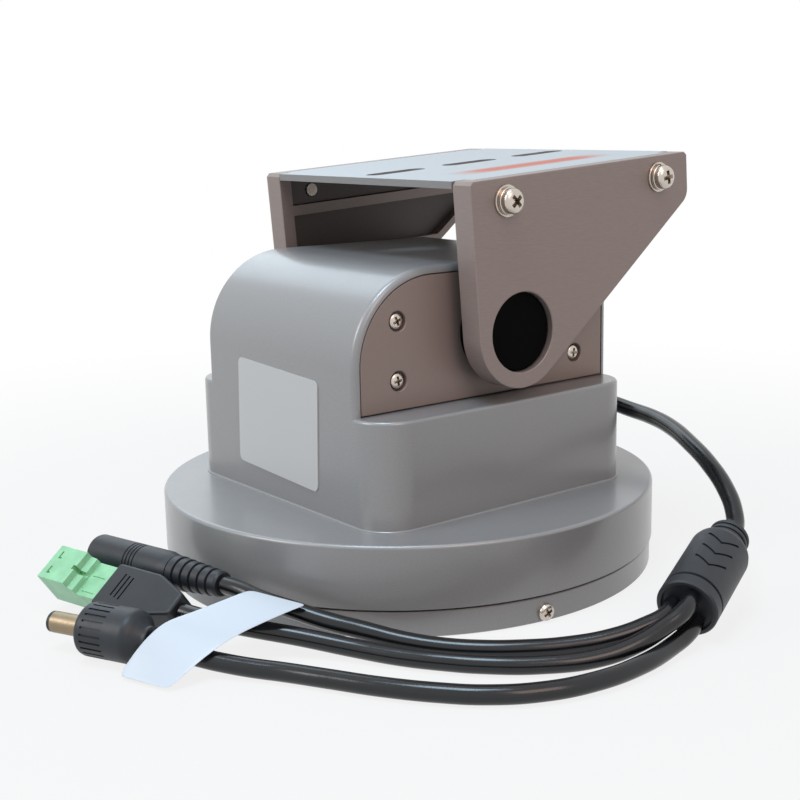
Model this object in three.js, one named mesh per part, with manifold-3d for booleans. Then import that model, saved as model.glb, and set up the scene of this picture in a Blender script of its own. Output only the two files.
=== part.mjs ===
// A small motorised pan and tilt head. A round base stays fixed, a turntable with a casing
// pans on it, and a U-shaped bracket tilts on a shaft that crosses the casing.
// Millimetres, +Z up. The pan axis is the Z axis, the base rests on z = 0, and the front,
// with the rating label, faces -Y. The tilt shaft runs along X.
import * as THREE from 'three';
import { mergeVertices } from 'three/addons/utils/BufferGeometryUtils.js';
import Module from 'manifold-3d';

const wasm = await Module();
wasm.setup();

// Clearances and shared small sizes
const clearance = 0.3;
const cutOverrun = 2;
const edgeBreak = 0.8;

// Fixed base
const basePlateThickness = 6;
const baseRingInset = 0.6;
const baseRingWall = 2.4;
const baseRingHeight = 7.1;
const mountCircleRadius = 50;
const mountHoleRadius = 2.1;
const mountHoleCount = 4;
const spindleRadius = 8;
const spindleBore = 4;
const spindleFlangeRim = 4;
const spindleFlangeThickness = 3;
const spindleFlangeRecess = 1;
const baseBossWall = 3;
const baseBossHeight = 4;
const spindleNutHeight = 4;

// Screws that hold the base ring
const ringScrewHeight = 2.7;
const ringScrewHeadRadius = 2.4;
const ringScrewHeadHeight = 1.6;
const ringScrewRadius = 1.25;
const ringScrewLength = 8;
const ringScrewFirstAngle = -9;

// Pan stop pins
const stopPinRadius = 3;
const stopPinInset = 13;
const stopPinOverlap = 4;

// Turntable
const turntableRadius = 75;
const turntableSeam = 0.4;
const turntableTop = 25.1;
const turntableWall = 3;
const turntableFillet = 1;

// Pan bearing
const bearingHeight = 7;
const bearingInnerWall = 2.3;
const bearingCageWall = 1.3;
const bearingOuterWall = 3.5;
const bearingLip = 1;
const bearingHubWall = 4;

// Gears
const pressureAngle = 20;
const addendumShare = 0.8;
const dedendumShare = 1.25;
const backlash = 0.12;
const panGearTeeth = 44;
const panPinionTeeth = 16;
const panPinionDistance = 30;
const panGearThickness = 6;
const tiltGearTeeth = 30;
const tiltPinionTeeth = 12;
const tiltPinionDistance = 21;
const tiltGearThickness = 5;
const pinionThickness = 5;
const pinionShaftRadius = 2.4;
const gearHubRadius = 11;
const gearHubHeight = 1.4;

// Casing
const blockInset = 1.1;
const blockHeight = 30.1;
const blockCornerRadius = 11;
const ledgeFillet = 1;
const archHeight = 38.6;
const archFrontRadius = 26.2;
const archBackRadius = 13;
const archFillet = 1.8;
const casingWall = 2.5;
const webThickness = 2.5;
const webOpeningInset = 24.5;
const webOpeningRise = 13.5;
const webOpeningDrop = 15.5;

// Side covers
const coverThickness = 3;
const coverRim = 2;
const coverBossRadius = 11.5;
const coverBossLength = 5;
const coverBevel = 0.3;
const coverScrewHeadRadius = 2.95;
const coverScrewHeadHeight = 1.6;
const coverScrewRadius = 1.5;
const coverScrewLength = 5.2;
const coverScrewFrontInset = 14.9;
const coverScrewBackInset = 13.7;
const coverScrewTopInset = 14;
const coverScrewBottomInset = 8.3;

// Tilt bracket
const restTilt = 4.2;
const pivotY = 1.8;
const pivotDrop = 19.3;
const bracketHalfWidth = 50.5;
const sidePlateThickness = 7.6;
const sidePlateGap = 4.7;
const sidePlateEndRadius = 15.8;
const sidePlateReach = 70.6;
const sidePlateRise = 43.2;
const sidePlateBackEdge = 13.6;
const sidePlateCornerRadius = 5;
const sidePlateTopCorner = 1;
const sidePlateHoleRadius = 11.3;
const pocketDepth = 3.4;
const pocketRim = 4.2;
const pocketDiagonalRim = 2.5;
const pocketFloorHeight = 16;
const ribBottom = 29.4;
const ribTop = 32.6;
const topPlateThickness = 2;
const topPlateFlange = 2;
const slotLength = 20.5;
const slotWidth = 6.4;
const slotSpacing = 28.9;
const slotFirst = -0.4;
const slotOffset = -2;
const slotCount = 3;

// Bracket screws
const bracketScrewHeight = 36.9;
const bracketScrewFrontInset = 12.3;
const bracketScrewBackInset = 13.4;
const bracketScrewRadius = 2;
const bracketScrewHeadRadius = 3.5;
const bracketScrewHeadHeight = 2.4;
const bracketWasherRadius = 4.4;
const bracketWasherThickness = 0.8;
const springWasherRadius = 3.6;
const springWasherThickness = 1.1;
const bracketScrewTip = 2.4;

// Tilt shaft, bushes and hubs
const tiltShaftRadius = 4.8;
const tiltBushRadius = 8.3;
const hubFlangeRadius = 13;
const hubRecess = 0.9;
const hubEndThickness = 2.6;
const tiltGearGap = 8.7;

// Motors, gearboxes and their frame
const gearboxRadius = 12;
const gearboxLength = 19;
const motorRadius = 11.4;
const motorWallGap = 3;
const panMotorLength = 22;
const tiltMotorGap = 10.5;
const motorBossRadius = 4;
const motorBossLength = 1.6;
const tiltPinionAngle = 45;
const motorFrameThickness = 2;
const motorFrameFoot = 10;
const motorFrameHalfWidth = 15;
const motorFrameRise = 12.35;
const tiltSwitchSize = [6, 12, 6.5];
const tiltSwitchLever = 2;
const tiltSwitchDrop = 28.5;

// Control board
const boardLength = 44;
const boardThickness = 1.6;
const boardStandoff = 4;
const boardStandoffRadius = 2.4;
const boardBottomGap = 0.9;
const boardTopGap = 0.7;
const boardSide = -36;
const boardChipSize = [9, 1.4, 9];
const boardConnectorSize = [14, 6, 6];
const boardCapacitorRadius = 3;
const boardCapacitorHeight = 8;

// Rating label
const labelWidth = 41.5;
const labelHeight = 31.5;
const labelThickness = 0.3;
const labelCornerRadius = 2;
const labelTopGap = 3.75;
const labelTurn = -2.5;

// Cables
const mainCableRadius = 2.6;
const branchCableRadius = 2.4;
const glandX = 0;
const glandZ = 41.2;
const glandFlangeRadius = 7;
const glandFlangeThickness = 2;
const glandBodyRadius = 4.6;
const glandBodyDepth = 4;
const glandTailRadius = 3.4;
const glandTailLength = 8;

// Splitter, where the main cable parts into three
const splitterRadius = 8.3;
const splitterLength = 30;
const splitterNeckRadius = 5.75;
const splitterNeckLength = 6.5;
const splitterNeckGrooves = 3;
const splitterShoulder = 3;
const splitterGrooveDepth = 0.5;
const splitterGrooveWidth = 1;
const splitterMouthDepth = 1;
const splitterMouthRim = 1;

// Jack on the first branch, with its ringed boot
const jackRadius = 5.25;
const jackLength = 31;
const jackBore = 3;
const jackBoreDepth = 9;
const jackPinRadius = 1;
const bootLength = 17.8;
const bootStartRadius = 4.7;
const bootEndRadius = 3.3;
const bootRings = 5;
const bootRingGap = 1;
const bootRingDepth = 0.7;

// Screw terminal and its adapter on the second branch
const adapterLength = 27;
const adapterStraight = 16.5;
const adapterHalfWidth = 6.8;
const adapterThickness = 8.8;
const adapterEndHalfWidth = 3.4;
const adapterBevel = 0.8;
const terminalHalfWidth = 5.5;
const terminalLength = 20.4;
const terminalStep = 7;
const terminalSlope = 2.5;
const terminalBottom = 3;
const terminalLowTop = 3.6;
const terminalHighTop = 7.6;
const terminalScrewRadius = 1.4;
const terminalScrewDepth = 2;
const terminalPitch = 5.08;

// Barrel plug on the third branch
const plugRadius = 6.9;
const plugLength = 14.5;
const plugTailLength = 4;
const plugTailRadius = 3.3;
const plugFrontChamfer = 1;
const barrelRadius = 2.75;
const barrelBore = 1.25;
const barrelLength = 11.8;

// Flag round the first branch
const flagWidth = 15;
const flagThickness = 0.4;

// Smoothness, in sides to a full turn
const discSides = 64;
const roundSides = 28;
const screwSides = 12;
const cableSides = 8;
const connectorSides = 16;
const arcSteps = 6;

// Sizes that follow from the ones above
const baseRingRadius = turntableRadius - baseRingInset;
const basePlateRadius = baseRingRadius - baseRingWall - clearance;
const stopPinCircleRadius = turntableRadius - stopPinInset;
const spindleFlangeRadius = spindleRadius + spindleFlangeRim;
const baseBossRadius = spindleFlangeRadius + baseBossWall;
const bearingInnerRadius = spindleRadius + clearance + bearingInnerWall;
const bearingCageRadius = bearingInnerRadius + clearance + bearingCageWall;
const bearingOuterRadius = bearingCageRadius + clearance + bearingOuterWall;
const spindleNutRadius = bearingCageRadius - clearance;
const panGearModule = (2 * panPinionDistance) / (panGearTeeth + panPinionTeeth);
const tiltGearModule = (2 * tiltPinionDistance) / (tiltGearTeeth + tiltPinionTeeth);
const plateInner = bracketHalfWidth - sidePlateThickness;
const blockHalfWidth = bracketHalfWidth - blockInset;
const casingHalfDepth = panPinionDistance + gearboxRadius + motorWallGap + casingWall;
const ledgeHeight = turntableTop + blockHeight;
const archTop = ledgeHeight + archHeight;
const casingSide = plateInner - sidePlateGap;
const webOuter = casingSide - coverThickness;
const webInner = webOuter - webThickness;
const pivotZ = archTop - pivotDrop;
const tiltGearSide = webInner - tiltGearGap;
const bracketScrewFront = bracketScrewFrontInset - sidePlateEndRadius;
const bracketScrewBack = sidePlateReach - bracketScrewBackInset;
const boardBottom = turntableTop + boardBottomGap;
const boardHeight = ledgeHeight - casingWall - boardTopGap - boardBottom;
const labelCentreHeight = archTop - archFrontRadius - labelTopGap - labelHeight / 2;

const finishes = {
  paintedGrey: { color: 0x9aa0a4, roughness: 0.42, metalness: 0.55 },
  anodised: { color: 0x8a7f77, roughness: 0.5, metalness: 0.75 },
  brushedPlate: { color: 0x85807b, roughness: 0.5, metalness: 0.75 },
  topSheet: { color: 0xb9c0c4, roughness: 0.4, metalness: 0.7 },
  nickel: { color: 0xc9c6c0, roughness: 0.25, metalness: 1 },
  steel: { color: 0x9b9da0, roughness: 0.35, metalness: 1 },
  brass: { color: 0xb8964f, roughness: 0.35, metalness: 1 },
  bronze: { color: 0x9c7440, roughness: 0.45, metalness: 0.9 },
  blackPlastic: { color: 0x141416, roughness: 0.55, metalness: 0 },
  blackPvc: { color: 0x0d0d0f, roughness: 0.28, metalness: 0 },
  nylon: { color: 0xe4e0d2, roughness: 0.5, metalness: 0 },
  greenPlastic: { color: 0x4fb56a, roughness: 0.4, metalness: 0 },
  boardGreen: { color: 0x1f5a36, roughness: 0.5, metalness: 0 },
  whiteLabel: { color: 0xe9ecef, roughness: 0.6, metalness: 0 },
  platedBarrel: { color: 0xcdb89c, roughness: 0.3, metalness: 0.9 },
};

// Geometry helpers

function toManifold(geometry) {
  const bare = geometry.clone();
  for (const name of Object.keys(bare.attributes)) {
    if (name !== 'position') bare.deleteAttribute(name);
  }
  const merged = mergeVertices(bare);
  const kept = [];
  const index = merged.index.array;
  for (let i = 0; i < index.length; i += 3) {
    const corner = [index[i], index[i + 1], index[i + 2]];
    if (new Set(corner).size === 3) kept.push(...corner);
  }
  return new wasm.Manifold(new wasm.Mesh({
    numProp: 3,
    vertProperties: new Float32Array(merged.attributes.position.array),
    triVerts: new Uint32Array(kept),
  }));
}

function toGeometry(manifold) {
  const mesh = manifold.getMesh();
  const geometry = new THREE.BufferGeometry();
  geometry.setAttribute('position', new THREE.BufferAttribute(mesh.vertProperties, 3));
  geometry.setIndex(new THREE.BufferAttribute(mesh.triVerts, 1));
  geometry.computeVertexNormals();
  return geometry;
}

function join(...pieces) {
  return toGeometry(pieces.map(toManifold).reduce((whole, piece) => whole.add(piece)));
}

function cut(body, ...tools) {
  return toGeometry(tools.map(toManifold).reduce((whole, tool) => whole.subtract(tool), toManifold(body)));
}

// Turns a shape drawn in (first, second) and pulled along the third onto the named axis.
const axisBases = {
  x: new THREE.Matrix4().set(0, 0, 1, 0, 1, 0, 0, 0, 0, 1, 0, 0, 0, 0, 0, 1),
  y: new THREE.Matrix4().set(1, 0, 0, 0, 0, 0, 1, 0, 0, -1, 0, 0, 0, 0, 0, 1),
  z: new THREE.Matrix4(),
};

function rod(axis, radius, from, to, sides = roundSides) {
  const geometry = new THREE.CylinderGeometry(radius, radius, to - from, sides);
  geometry.rotateX(Math.PI / 2);
  geometry.translate(0, 0, (from + to) / 2);
  return geometry.applyMatrix4(axisBases[axis]);
}

function tube(axis, outer, inner, from, to, sides = roundSides) {
  return cut(rod(axis, outer, from, to, sides), rod(axis, inner, from - cutOverrun, to + cutOverrun, sides));
}

function block(x, y, z) {
  const geometry = new THREE.BoxGeometry(x[1] - x[0], y[1] - y[0], z[1] - z[0]);
  return geometry.translate((x[0] + x[1]) / 2, (y[0] + y[1]) / 2, (z[0] + z[1]) / 2);
}

function lathe(profile, sides = roundSides) {
  const points = [...profile, profile[0]].map(([r, z]) => new THREE.Vector2(r, z));
  const geometry = new THREE.LatheGeometry(points, sides);
  return geometry.rotateX(Math.PI / 2);
}

// A slab pulled along an axis from one place to another, with an optional bevel inside its size.
function slab(axis, shape, from, to, bevel = 0, bevelSteps = 2) {
  const geometry = new THREE.ExtrudeGeometry(shape, {
    depth: to - from - 2 * bevel,
    bevelEnabled: bevel > 0,
    bevelThickness: bevel,
    bevelSize: bevel,
    bevelOffset: -bevel,
    bevelSegments: bevelSteps,
    curveSegments: arcSteps,
  });
  return geometry.translate(0, 0, from + bevel).applyMatrix4(axisBases[axis]);
}

function roundedRectangle(halfWidth, halfHeight, radius) {
  const shape = new THREE.Shape();
  const x = halfWidth - radius;
  const y = halfHeight - radius;
  shape.absarc(x, y, radius, 0, Math.PI / 2);
  shape.absarc(-x, y, radius, Math.PI / 2, Math.PI);
  shape.absarc(-x, -y, radius, Math.PI, 1.5 * Math.PI);
  shape.absarc(x, -y, radius, 1.5 * Math.PI, 2 * Math.PI);
  shape.closePath();
  return shape;
}

function polygon(points) {
  return new THREE.Shape(points.map(([x, y]) => new THREE.Vector2(x, y)));
}

const degrees = Math.PI / 180;
const head = new THREE.Group();
const bracket = new THREE.Group();
bracket.position.set(0, pivotY, pivotZ);
bracket.rotation.x = restTilt * degrees;
head.add(bracket);

function add(name, geometry, finish, group = head) {
  const mesh = new THREE.Mesh(toGeometry(toManifold(geometry)), new THREE.MeshStandardMaterial(finishes[finish]));
  mesh.name = name;
  group.add(mesh);
  return mesh;
}

// A spur gear outline with involute flanks, its tooth 0 centred on the angle given.
function gearShape(module, teeth, firstTooth) {
  const pitch = (module * teeth) / 2;
  const base = pitch * Math.cos(pressureAngle * degrees);
  const tip = pitch + addendumShare * module;
  const root = pitch - dedendumShare * module;
  const involute = (angle) => Math.tan(angle) - angle;
  const halfTooth = Math.PI / (2 * teeth) - backlash / (2 * pitch) + involute(pressureAngle * degrees);
  const flank = (radius) => halfTooth - involute(Math.acos(Math.min(1, base / radius)));
  const foot = Math.max(base, root);
  const radii = [(foot + pitch) / 2, tip];
  const points = [];
  for (let tooth = 0; tooth < teeth; tooth += 1) {
    const centre = firstTooth + (tooth * 2 * Math.PI) / teeth;
    const at = (radius, angle) => [radius * Math.cos(centre + angle), radius * Math.sin(centre + angle)];
    points.push(at(root, -flank(foot)));
    for (const radius of radii) points.push(at(radius, -flank(radius)));
    for (const radius of [...radii].reverse()) points.push(at(radius, flank(radius)));
    points.push(at(root, flank(foot)));
  }
  return polygon(points);
}

// Heights of the stack round the spindle
const bossTop = basePlateThickness + baseBossHeight;
const gearTop = bossTop + panGearThickness;
const bearingBottom = gearTop + gearHubHeight;
const bearingTop = bearingBottom + bearingHeight;
const turntableBottom = baseRingHeight + turntableSeam;
const turntableUnderside = turntableTop - turntableWall;

// Fixed base

function makeBasePlate() {
  const plate = join(
    rod('z', basePlateRadius, 0, basePlateThickness, discSides),
    rod('z', baseBossRadius, basePlateThickness / 2, bossTop),
    rod('z', stopPinRadius, basePlateThickness / 2, turntableBottom + stopPinOverlap, screwSides)
      .translate(0, stopPinCircleRadius, 0),
  );
  const holes = [
    rod('z', spindleRadius + clearance, -cutOverrun, bossTop + cutOverrun),
    rod('z', spindleFlangeRadius + clearance, -cutOverrun, spindleFlangeRecess + spindleFlangeThickness),
  ];
  for (let i = 0; i < mountHoleCount; i += 1) {
    const angle = (i + 0.5) * (2 * Math.PI / mountHoleCount);
    holes.push(rod('z', mountHoleRadius, -cutOverrun, basePlateThickness + cutOverrun, screwSides)
      .translate(mountCircleRadius * Math.cos(angle), mountCircleRadius * Math.sin(angle), 0));
  }
  for (const angle of ringScrewAngles) {
    const from = baseRingRadius - ringScrewLength - clearance;
    holes.push(radial(rod('x', ringScrewRadius + clearance / 2, from, baseRingRadius, screwSides), angle));
  }
  return cut(plate, ...holes);
}

const ringScrewAngles = [0, 1, 2, 3].map((i) => (ringScrewFirstAngle + i * 90) * degrees);

function radial(geometry, angle) {
  return geometry.translate(0, 0, ringScrewHeight).rotateZ(angle);
}

function makeBaseRing() {
  const ring = lathe([
    [baseRingRadius - baseRingWall, 0],
    [baseRingRadius - edgeBreak / 2, 0],
    [baseRingRadius, edgeBreak / 2],
    [baseRingRadius, baseRingHeight],
    [baseRingRadius - baseRingWall, baseRingHeight],
  ], discSides);
  const holes = ringScrewAngles.map((angle) => radial(
    rod('x', ringScrewRadius + clearance / 2, basePlateRadius - cutOverrun, baseRingRadius + cutOverrun, screwSides),
    angle,
  ));
  return cut(ring, ...holes);
}

// A pan head screw along X with its seat at the place given, the head towards +X.
const panHeadShares = [[0, 0], [1, 0], [1, 0.45], [0.86, 0.82], [0.55, 1], [0, 1]];
const crossArmShare = 0.55;
const crossWidthShare = 0.13;
const crossFloorShare = 0.45;

function panHeadScrew(radius, length, headRadius, headHeight, seat) {
  const screw = join(
    lathe(panHeadShares.map(([r, z]) => [r * headRadius, z * headHeight]), screwSides),
    rod('z', radius, -length, headHeight / 2, screwSides),
  );
  return crossRecess(screw, headRadius, headHeight).applyMatrix4(axisBases.x).translate(seat, 0, 0);
}

function crossRecess(screw, headRadius, headHeight) {
  const arm = headRadius * crossArmShare;
  const half = headRadius * crossWidthShare;
  const z = [headHeight * crossFloorShare, headHeight + cutOverrun];
  return cut(screw, join(block([-arm, arm], [-half, half], z), block([-half, half], [-arm, arm], z)));
}

add('base_plate', makeBasePlate(), 'anodised');
add('base_ring', makeBaseRing(), 'paintedGrey');
ringScrewAngles.forEach((angle, i) => {
  const screw = panHeadScrew(
    ringScrewRadius, ringScrewLength, ringScrewHeadRadius, ringScrewHeadHeight, baseRingRadius,
  );
  add(`ring_screw_${i + 1}`, radial(screw, angle), 'nickel');
});

add('pan_spindle', lathe([
  [spindleBore, spindleFlangeRecess],
  [spindleFlangeRadius, spindleFlangeRecess],
  [spindleFlangeRadius, spindleFlangeRecess + spindleFlangeThickness - clearance],
  [spindleRadius, spindleFlangeRecess + spindleFlangeThickness - clearance],
  [spindleRadius, bearingTop + spindleNutHeight + clearance],
  [spindleBore, bearingTop + spindleNutHeight + clearance],
]), 'steel');

const panGearHole = rod('z', spindleRadius + clearance, bossTop - cutOverrun, bearingBottom + cutOverrun);
add('pan_gear', cut(join(
  slab('z', gearShape(panGearModule, panGearTeeth, -Math.PI / 2), bossTop, gearTop),
  rod('z', gearHubRadius, gearTop - gearHubHeight, bearingBottom),
), panGearHole), 'brass');

const bearingBore = spindleRadius + clearance;
add('pan_bearing_inner', tube('z', bearingInnerRadius, bearingBore, bearingBottom, bearingTop), 'steel');
add('pan_bearing_cage', tube(
  'z', bearingCageRadius, bearingInnerRadius + clearance, bearingBottom + bearingLip, bearingTop - bearingLip,
), 'brass');
add('pan_bearing_outer', tube(
  'z', bearingOuterRadius, bearingCageRadius + clearance, bearingBottom + clearance, bearingTop,
), 'steel');
add('spindle_nut', tube('z', spindleNutRadius, bearingBore, bearingTop, bearingTop + spindleNutHeight), 'steel');

// Turntable, a shallow cup turned upside down with the bearing's hub in the middle

function makeTurntable() {
  const hubBore = bearingOuterRadius + clearance;
  const fillet = [0, 0.5, 1].map((share) => [
    turntableRadius - turntableFillet * (1 - Math.cos(share * Math.PI / 2)),
    turntableTop - turntableFillet * (1 - Math.sin(share * Math.PI / 2)),
  ]);
  const cup = lathe([
    [bearingOuterRadius - bearingLip, bearingBottom - bearingLip],
    [hubBore + bearingHubWall, bearingBottom - bearingLip],
    [hubBore + bearingHubWall, turntableUnderside],
    [turntableRadius - turntableWall, turntableUnderside],
    [turntableRadius - turntableWall, turntableBottom],
    [turntableRadius - edgeBreak / 2, turntableBottom],
    [turntableRadius, turntableBottom + edgeBreak / 2],
    ...fillet,
    [hubBore, turntableTop],
    [hubBore, bearingBottom],
    [bearingOuterRadius - bearingLip, bearingBottom],
  ], discSides);
  const stop = rod(
    'z', stopPinRadius, turntableBottom + clearance, turntableTop - turntableWall / 2, screwSides,
  ).translate(0, -stopPinCircleRadius, 0);
  const shaftHole = rod(
    'z', motorBossRadius + clearance, turntableBottom, turntableTop + cutOverrun, screwSides,
  ).translate(0, -panPinionDistance, 0);
  return cut(join(cup, stop), shaftHole);
}

add('turntable', makeTurntable(), 'paintedGrey');

// Casing, a hollow block with an arched upper part and a web behind each side cover

const coverScrewHigh = archTop - coverScrewTopInset;
const coverScrewLow = ledgeHeight + coverScrewBottomInset;
const coverScrewPlaces = [
  [coverScrewFrontInset - casingHalfDepth, coverScrewHigh],
  [coverScrewFrontInset - casingHalfDepth, coverScrewLow],
  [casingHalfDepth - coverScrewBackInset, coverScrewLow],
  [casingHalfDepth - coverScrewBackInset, coverScrewHigh],
];

// The arched side outline in (y, z), drawn in from the outer skin by the inset given.
function archShape(inset, bottom) {
  const y = casingHalfDepth - inset;
  const top = archTop - inset;
  const front = archFrontRadius - inset;
  const back = archBackRadius - inset;
  const shape = new THREE.Shape();
  shape.moveTo(-y, bottom);
  shape.lineTo(y, bottom);
  shape.lineTo(y, top - back);
  shape.absarc(y - back, top - back, back, 0, Math.PI / 2);
  shape.lineTo(-y + front, top);
  shape.absarc(-y + front, top - front, front, Math.PI / 2, Math.PI);
  shape.closePath();
  return shape;
}

function makeCasing() {
  const lowInner = ledgeHeight - casingWall;
  const outer = join(
    slab('z', roundedRectangle(blockHalfWidth, casingHalfDepth, blockCornerRadius),
      turntableTop, ledgeHeight, ledgeFillet, 3),
    slab('x', archShape(0, turntableTop + ledgeFillet), -casingSide, casingSide, archFillet, 3),
  );
  const inner = roundedRectangle(
    blockHalfWidth - casingWall, casingHalfDepth - casingWall, blockCornerRadius - casingWall,
  );
  const hollows = [
    slab('z', inner, turntableTop - cutOverrun, lowInner),
    slab('x', archShape(casingWall, turntableTop - cutOverrun), -webInner, webInner),
  ];
  const openingHalfWidth = casingHalfDepth - webOpeningInset;
  const opening = block(
    [-casingSide - cutOverrun, casingSide + cutOverrun],
    [pivotY - openingHalfWidth, pivotY + openingHalfWidth],
    [pivotZ - webOpeningDrop, pivotZ + webOpeningRise],
  );
  const glandHole = rod(
    'y', glandBodyRadius + clearance, casingHalfDepth - casingWall - cutOverrun, casingHalfDepth + cutOverrun,
    screwSides,
  ).translate(glandX, 0, glandZ);
  const hollowed = cut(outer, ...hollows, opening, glandHole);
  const bosses = boardStandoffPlaces.map(([x, z]) => rod(
    'y', boardStandoffRadius, casingHalfDepth - casingWall - boardStandoff, casingHalfDepth - casingWall / 2,
    screwSides,
  ).translate(x, 0, z));
  const recesses = [];
  for (const side of [-1, 1]) {
    const reach = [side * webOuter, side * (casingSide + cutOverrun)].sort((a, b) => a - b);
    recesses.push(slab('x', archShape(coverRim, ledgeHeight), ...reach));
    for (const [y, z] of coverScrewPlaces) {
      const hole = [side * (webInner - cutOverrun), side * (webOuter + cutOverrun)].sort((a, b) => a - b);
      recesses.push(rod('x', coverScrewRadius + clearance / 2, ...hole, screwSides).translate(0, y, z));
    }
  }
  return cut(join(hollowed, ...bosses), ...recesses);
}

const boardStandoffPlaces = [
  [boardSide + boardStandoffRadius, boardBottom + boardStandoffRadius],
  [boardSide + boardLength - boardStandoffRadius, boardBottom + boardStandoffRadius],
  [boardSide + boardStandoffRadius, boardBottom + boardHeight - boardStandoffRadius],
  [boardSide + boardLength - boardStandoffRadius, boardBottom + boardHeight - boardStandoffRadius],
];

add('casing', makeCasing(), 'paintedGrey');

// Side covers and their countersunk screws, made for the +X side and mirrored for the other

function mirrored(geometry, side) {
  if (side > 0) return geometry;
  const turned = geometry.clone().applyMatrix4(new THREE.Matrix4().makeScale(-1, 1, 1));
  const index = turned.index.array;
  for (let i = 0; i < index.length; i += 3) [index[i], index[i + 1]] = [index[i + 1], index[i]];
  return turned;
}

function makeCover() {
  const plate = slab(
    'x', archShape(coverRim + clearance, ledgeHeight + clearance), webOuter, casingSide, coverBevel, 1,
  );
  const boss = rod('x', coverBossRadius, webOuter - coverBossLength, casingSide - coverThickness / 2)
    .translate(0, pivotY, pivotZ);
  const bore = rod(
    'x', tiltBushRadius + clearance, webOuter - coverBossLength - cutOverrun, casingSide + cutOverrun,
  ).translate(0, pivotY, pivotZ);
  const holes = coverScrewPlaces.map(([y, z]) => countersunk(clearance / 2, cutOverrun).translate(0, y, z));
  return cut(join(plate, boss), bore, ...holes);
}

// A countersunk screw body along X, its head flush with the cover, grown for the hole that takes it.
function countersunk(growth, overrun) {
  return lathe([
    [0, casingSide - coverScrewLength - overrun],
    [coverScrewRadius + growth, casingSide - coverScrewLength - overrun],
    [coverScrewRadius + growth, casingSide - coverScrewHeadHeight - growth],
    [coverScrewHeadRadius + growth, casingSide - growth],
    [coverScrewHeadRadius + growth, casingSide + overrun],
    [0, casingSide + overrun],
  ], screwSides).applyMatrix4(axisBases.x);
}

function makeCoverScrew() {
  const recess = crossRecess(
    lathe([
      [0, -coverScrewLength],
      [coverScrewRadius, -coverScrewLength],
      [coverScrewRadius, -coverScrewHeadHeight],
      [coverScrewHeadRadius, -coverBevel],
      [coverScrewHeadRadius, 0],
      [0, 0],
    ], screwSides).translate(0, 0, coverScrewHeadHeight),
    coverScrewHeadRadius,
    coverScrewHeadHeight,
  );
  return recess.translate(0, 0, casingSide - coverScrewHeadHeight).applyMatrix4(axisBases.x);
}

for (const [word, side] of [['right', 1], ['left', -1]]) {
  add(`${word}_cover`, mirrored(makeCover(), side), 'brushedPlate');
  coverScrewPlaces.forEach(([y, z], i) => {
    const screw = makeCoverScrew().translate(0, y, z);
    add(`${word}_cover_screw_${i + 1}`, mirrored(screw, side), 'nickel');
  });
  const bush = tube(
    'x', tiltBushRadius, tiltShaftRadius + clearance, webOuter - coverBossLength, casingSide - clearance,
  ).translate(0, pivotY, pivotZ);
  add(`${word}_tilt_bush`, mirrored(bush, side), 'bronze');
}

// Pan motor and gearbox, upright at the front, with a pinion that rolls on the fixed gear

function motorBody(radius, from, to) {
  return lathe([
    [0, from],
    [radius - edgeBreak, from],
    [radius, from + edgeBreak],
    [radius, to - edgeBreak],
    [radius - edgeBreak, to],
    [0, to],
  ]);
}

const pinionBottom = bossTop + (panGearThickness - pinionThickness) / 2;
const gearboxBase = turntableTop - motorBossLength;
add('pan_gearbox', join(
  motorBody(gearboxRadius, turntableTop, turntableTop + gearboxLength),
  rod('z', motorBossRadius, gearboxBase, turntableTop + edgeBreak, screwSides),
).translate(0, -panPinionDistance, 0), 'nylon');
const panMotorBottom = turntableTop + gearboxLength;
const panMotorTop = panMotorBottom + panMotorLength;
add('pan_motor', join(
  motorBody(motorRadius, panMotorBottom, panMotorTop),
  rod('z', motorBossRadius, panMotorTop - edgeBreak, panMotorTop + motorBossLength, screwSides),
).translate(0, -panPinionDistance, 0), 'steel');

const panPinion = new THREE.Group();
panPinion.position.set(0, -panPinionDistance, 0);
head.add(panPinion);
const panPinionGap = Math.PI / 2 + Math.PI / panPinionTeeth;
add('pan_pinion', join(
  slab('z', gearShape(panGearModule, panPinionTeeth, panPinionGap), pinionBottom, pinionBottom + pinionThickness),
  rod('z', pinionShaftRadius, pinionBottom, gearboxBase - clearance, screwSides),
), 'brass', panPinion);

// Tilt motor and gearbox, lying along X on a frame that stands on the turntable

const tiltMotorY = pivotY + tiltPinionDistance * Math.sin(tiltPinionAngle * degrees);
const tiltMotorZ = pivotZ - tiltPinionDistance * Math.cos(tiltPinionAngle * degrees);
const frameFace = tiltGearSide - motorFrameThickness - motorBossLength;
const frameOuter = frameFace + motorFrameThickness;

function makeMotorFrame() {
  const wall = block(
    [frameFace, frameOuter],
    [tiltMotorY - motorFrameHalfWidth, tiltMotorY + motorFrameHalfWidth],
    [turntableTop, tiltMotorZ + motorFrameRise],
  );
  const foot = block(
    [frameFace, frameFace + motorFrameFoot],
    [tiltMotorY - motorFrameHalfWidth, tiltMotorY + motorFrameHalfWidth],
    [turntableTop, turntableTop + motorFrameThickness],
  );
  const ends = [frameFace - cutOverrun, frameOuter + cutOverrun];
  const bossHole = rod('x', motorBossRadius + clearance, ...ends, screwSides).translate(0, tiltMotorY, tiltMotorZ);
  const shaftHole = rod('x', tiltShaftRadius + 4 * clearance, ...ends, roundSides).translate(0, pivotY, pivotZ);
  return cut(join(wall, foot), bossHole, shaftHole);
}

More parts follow.
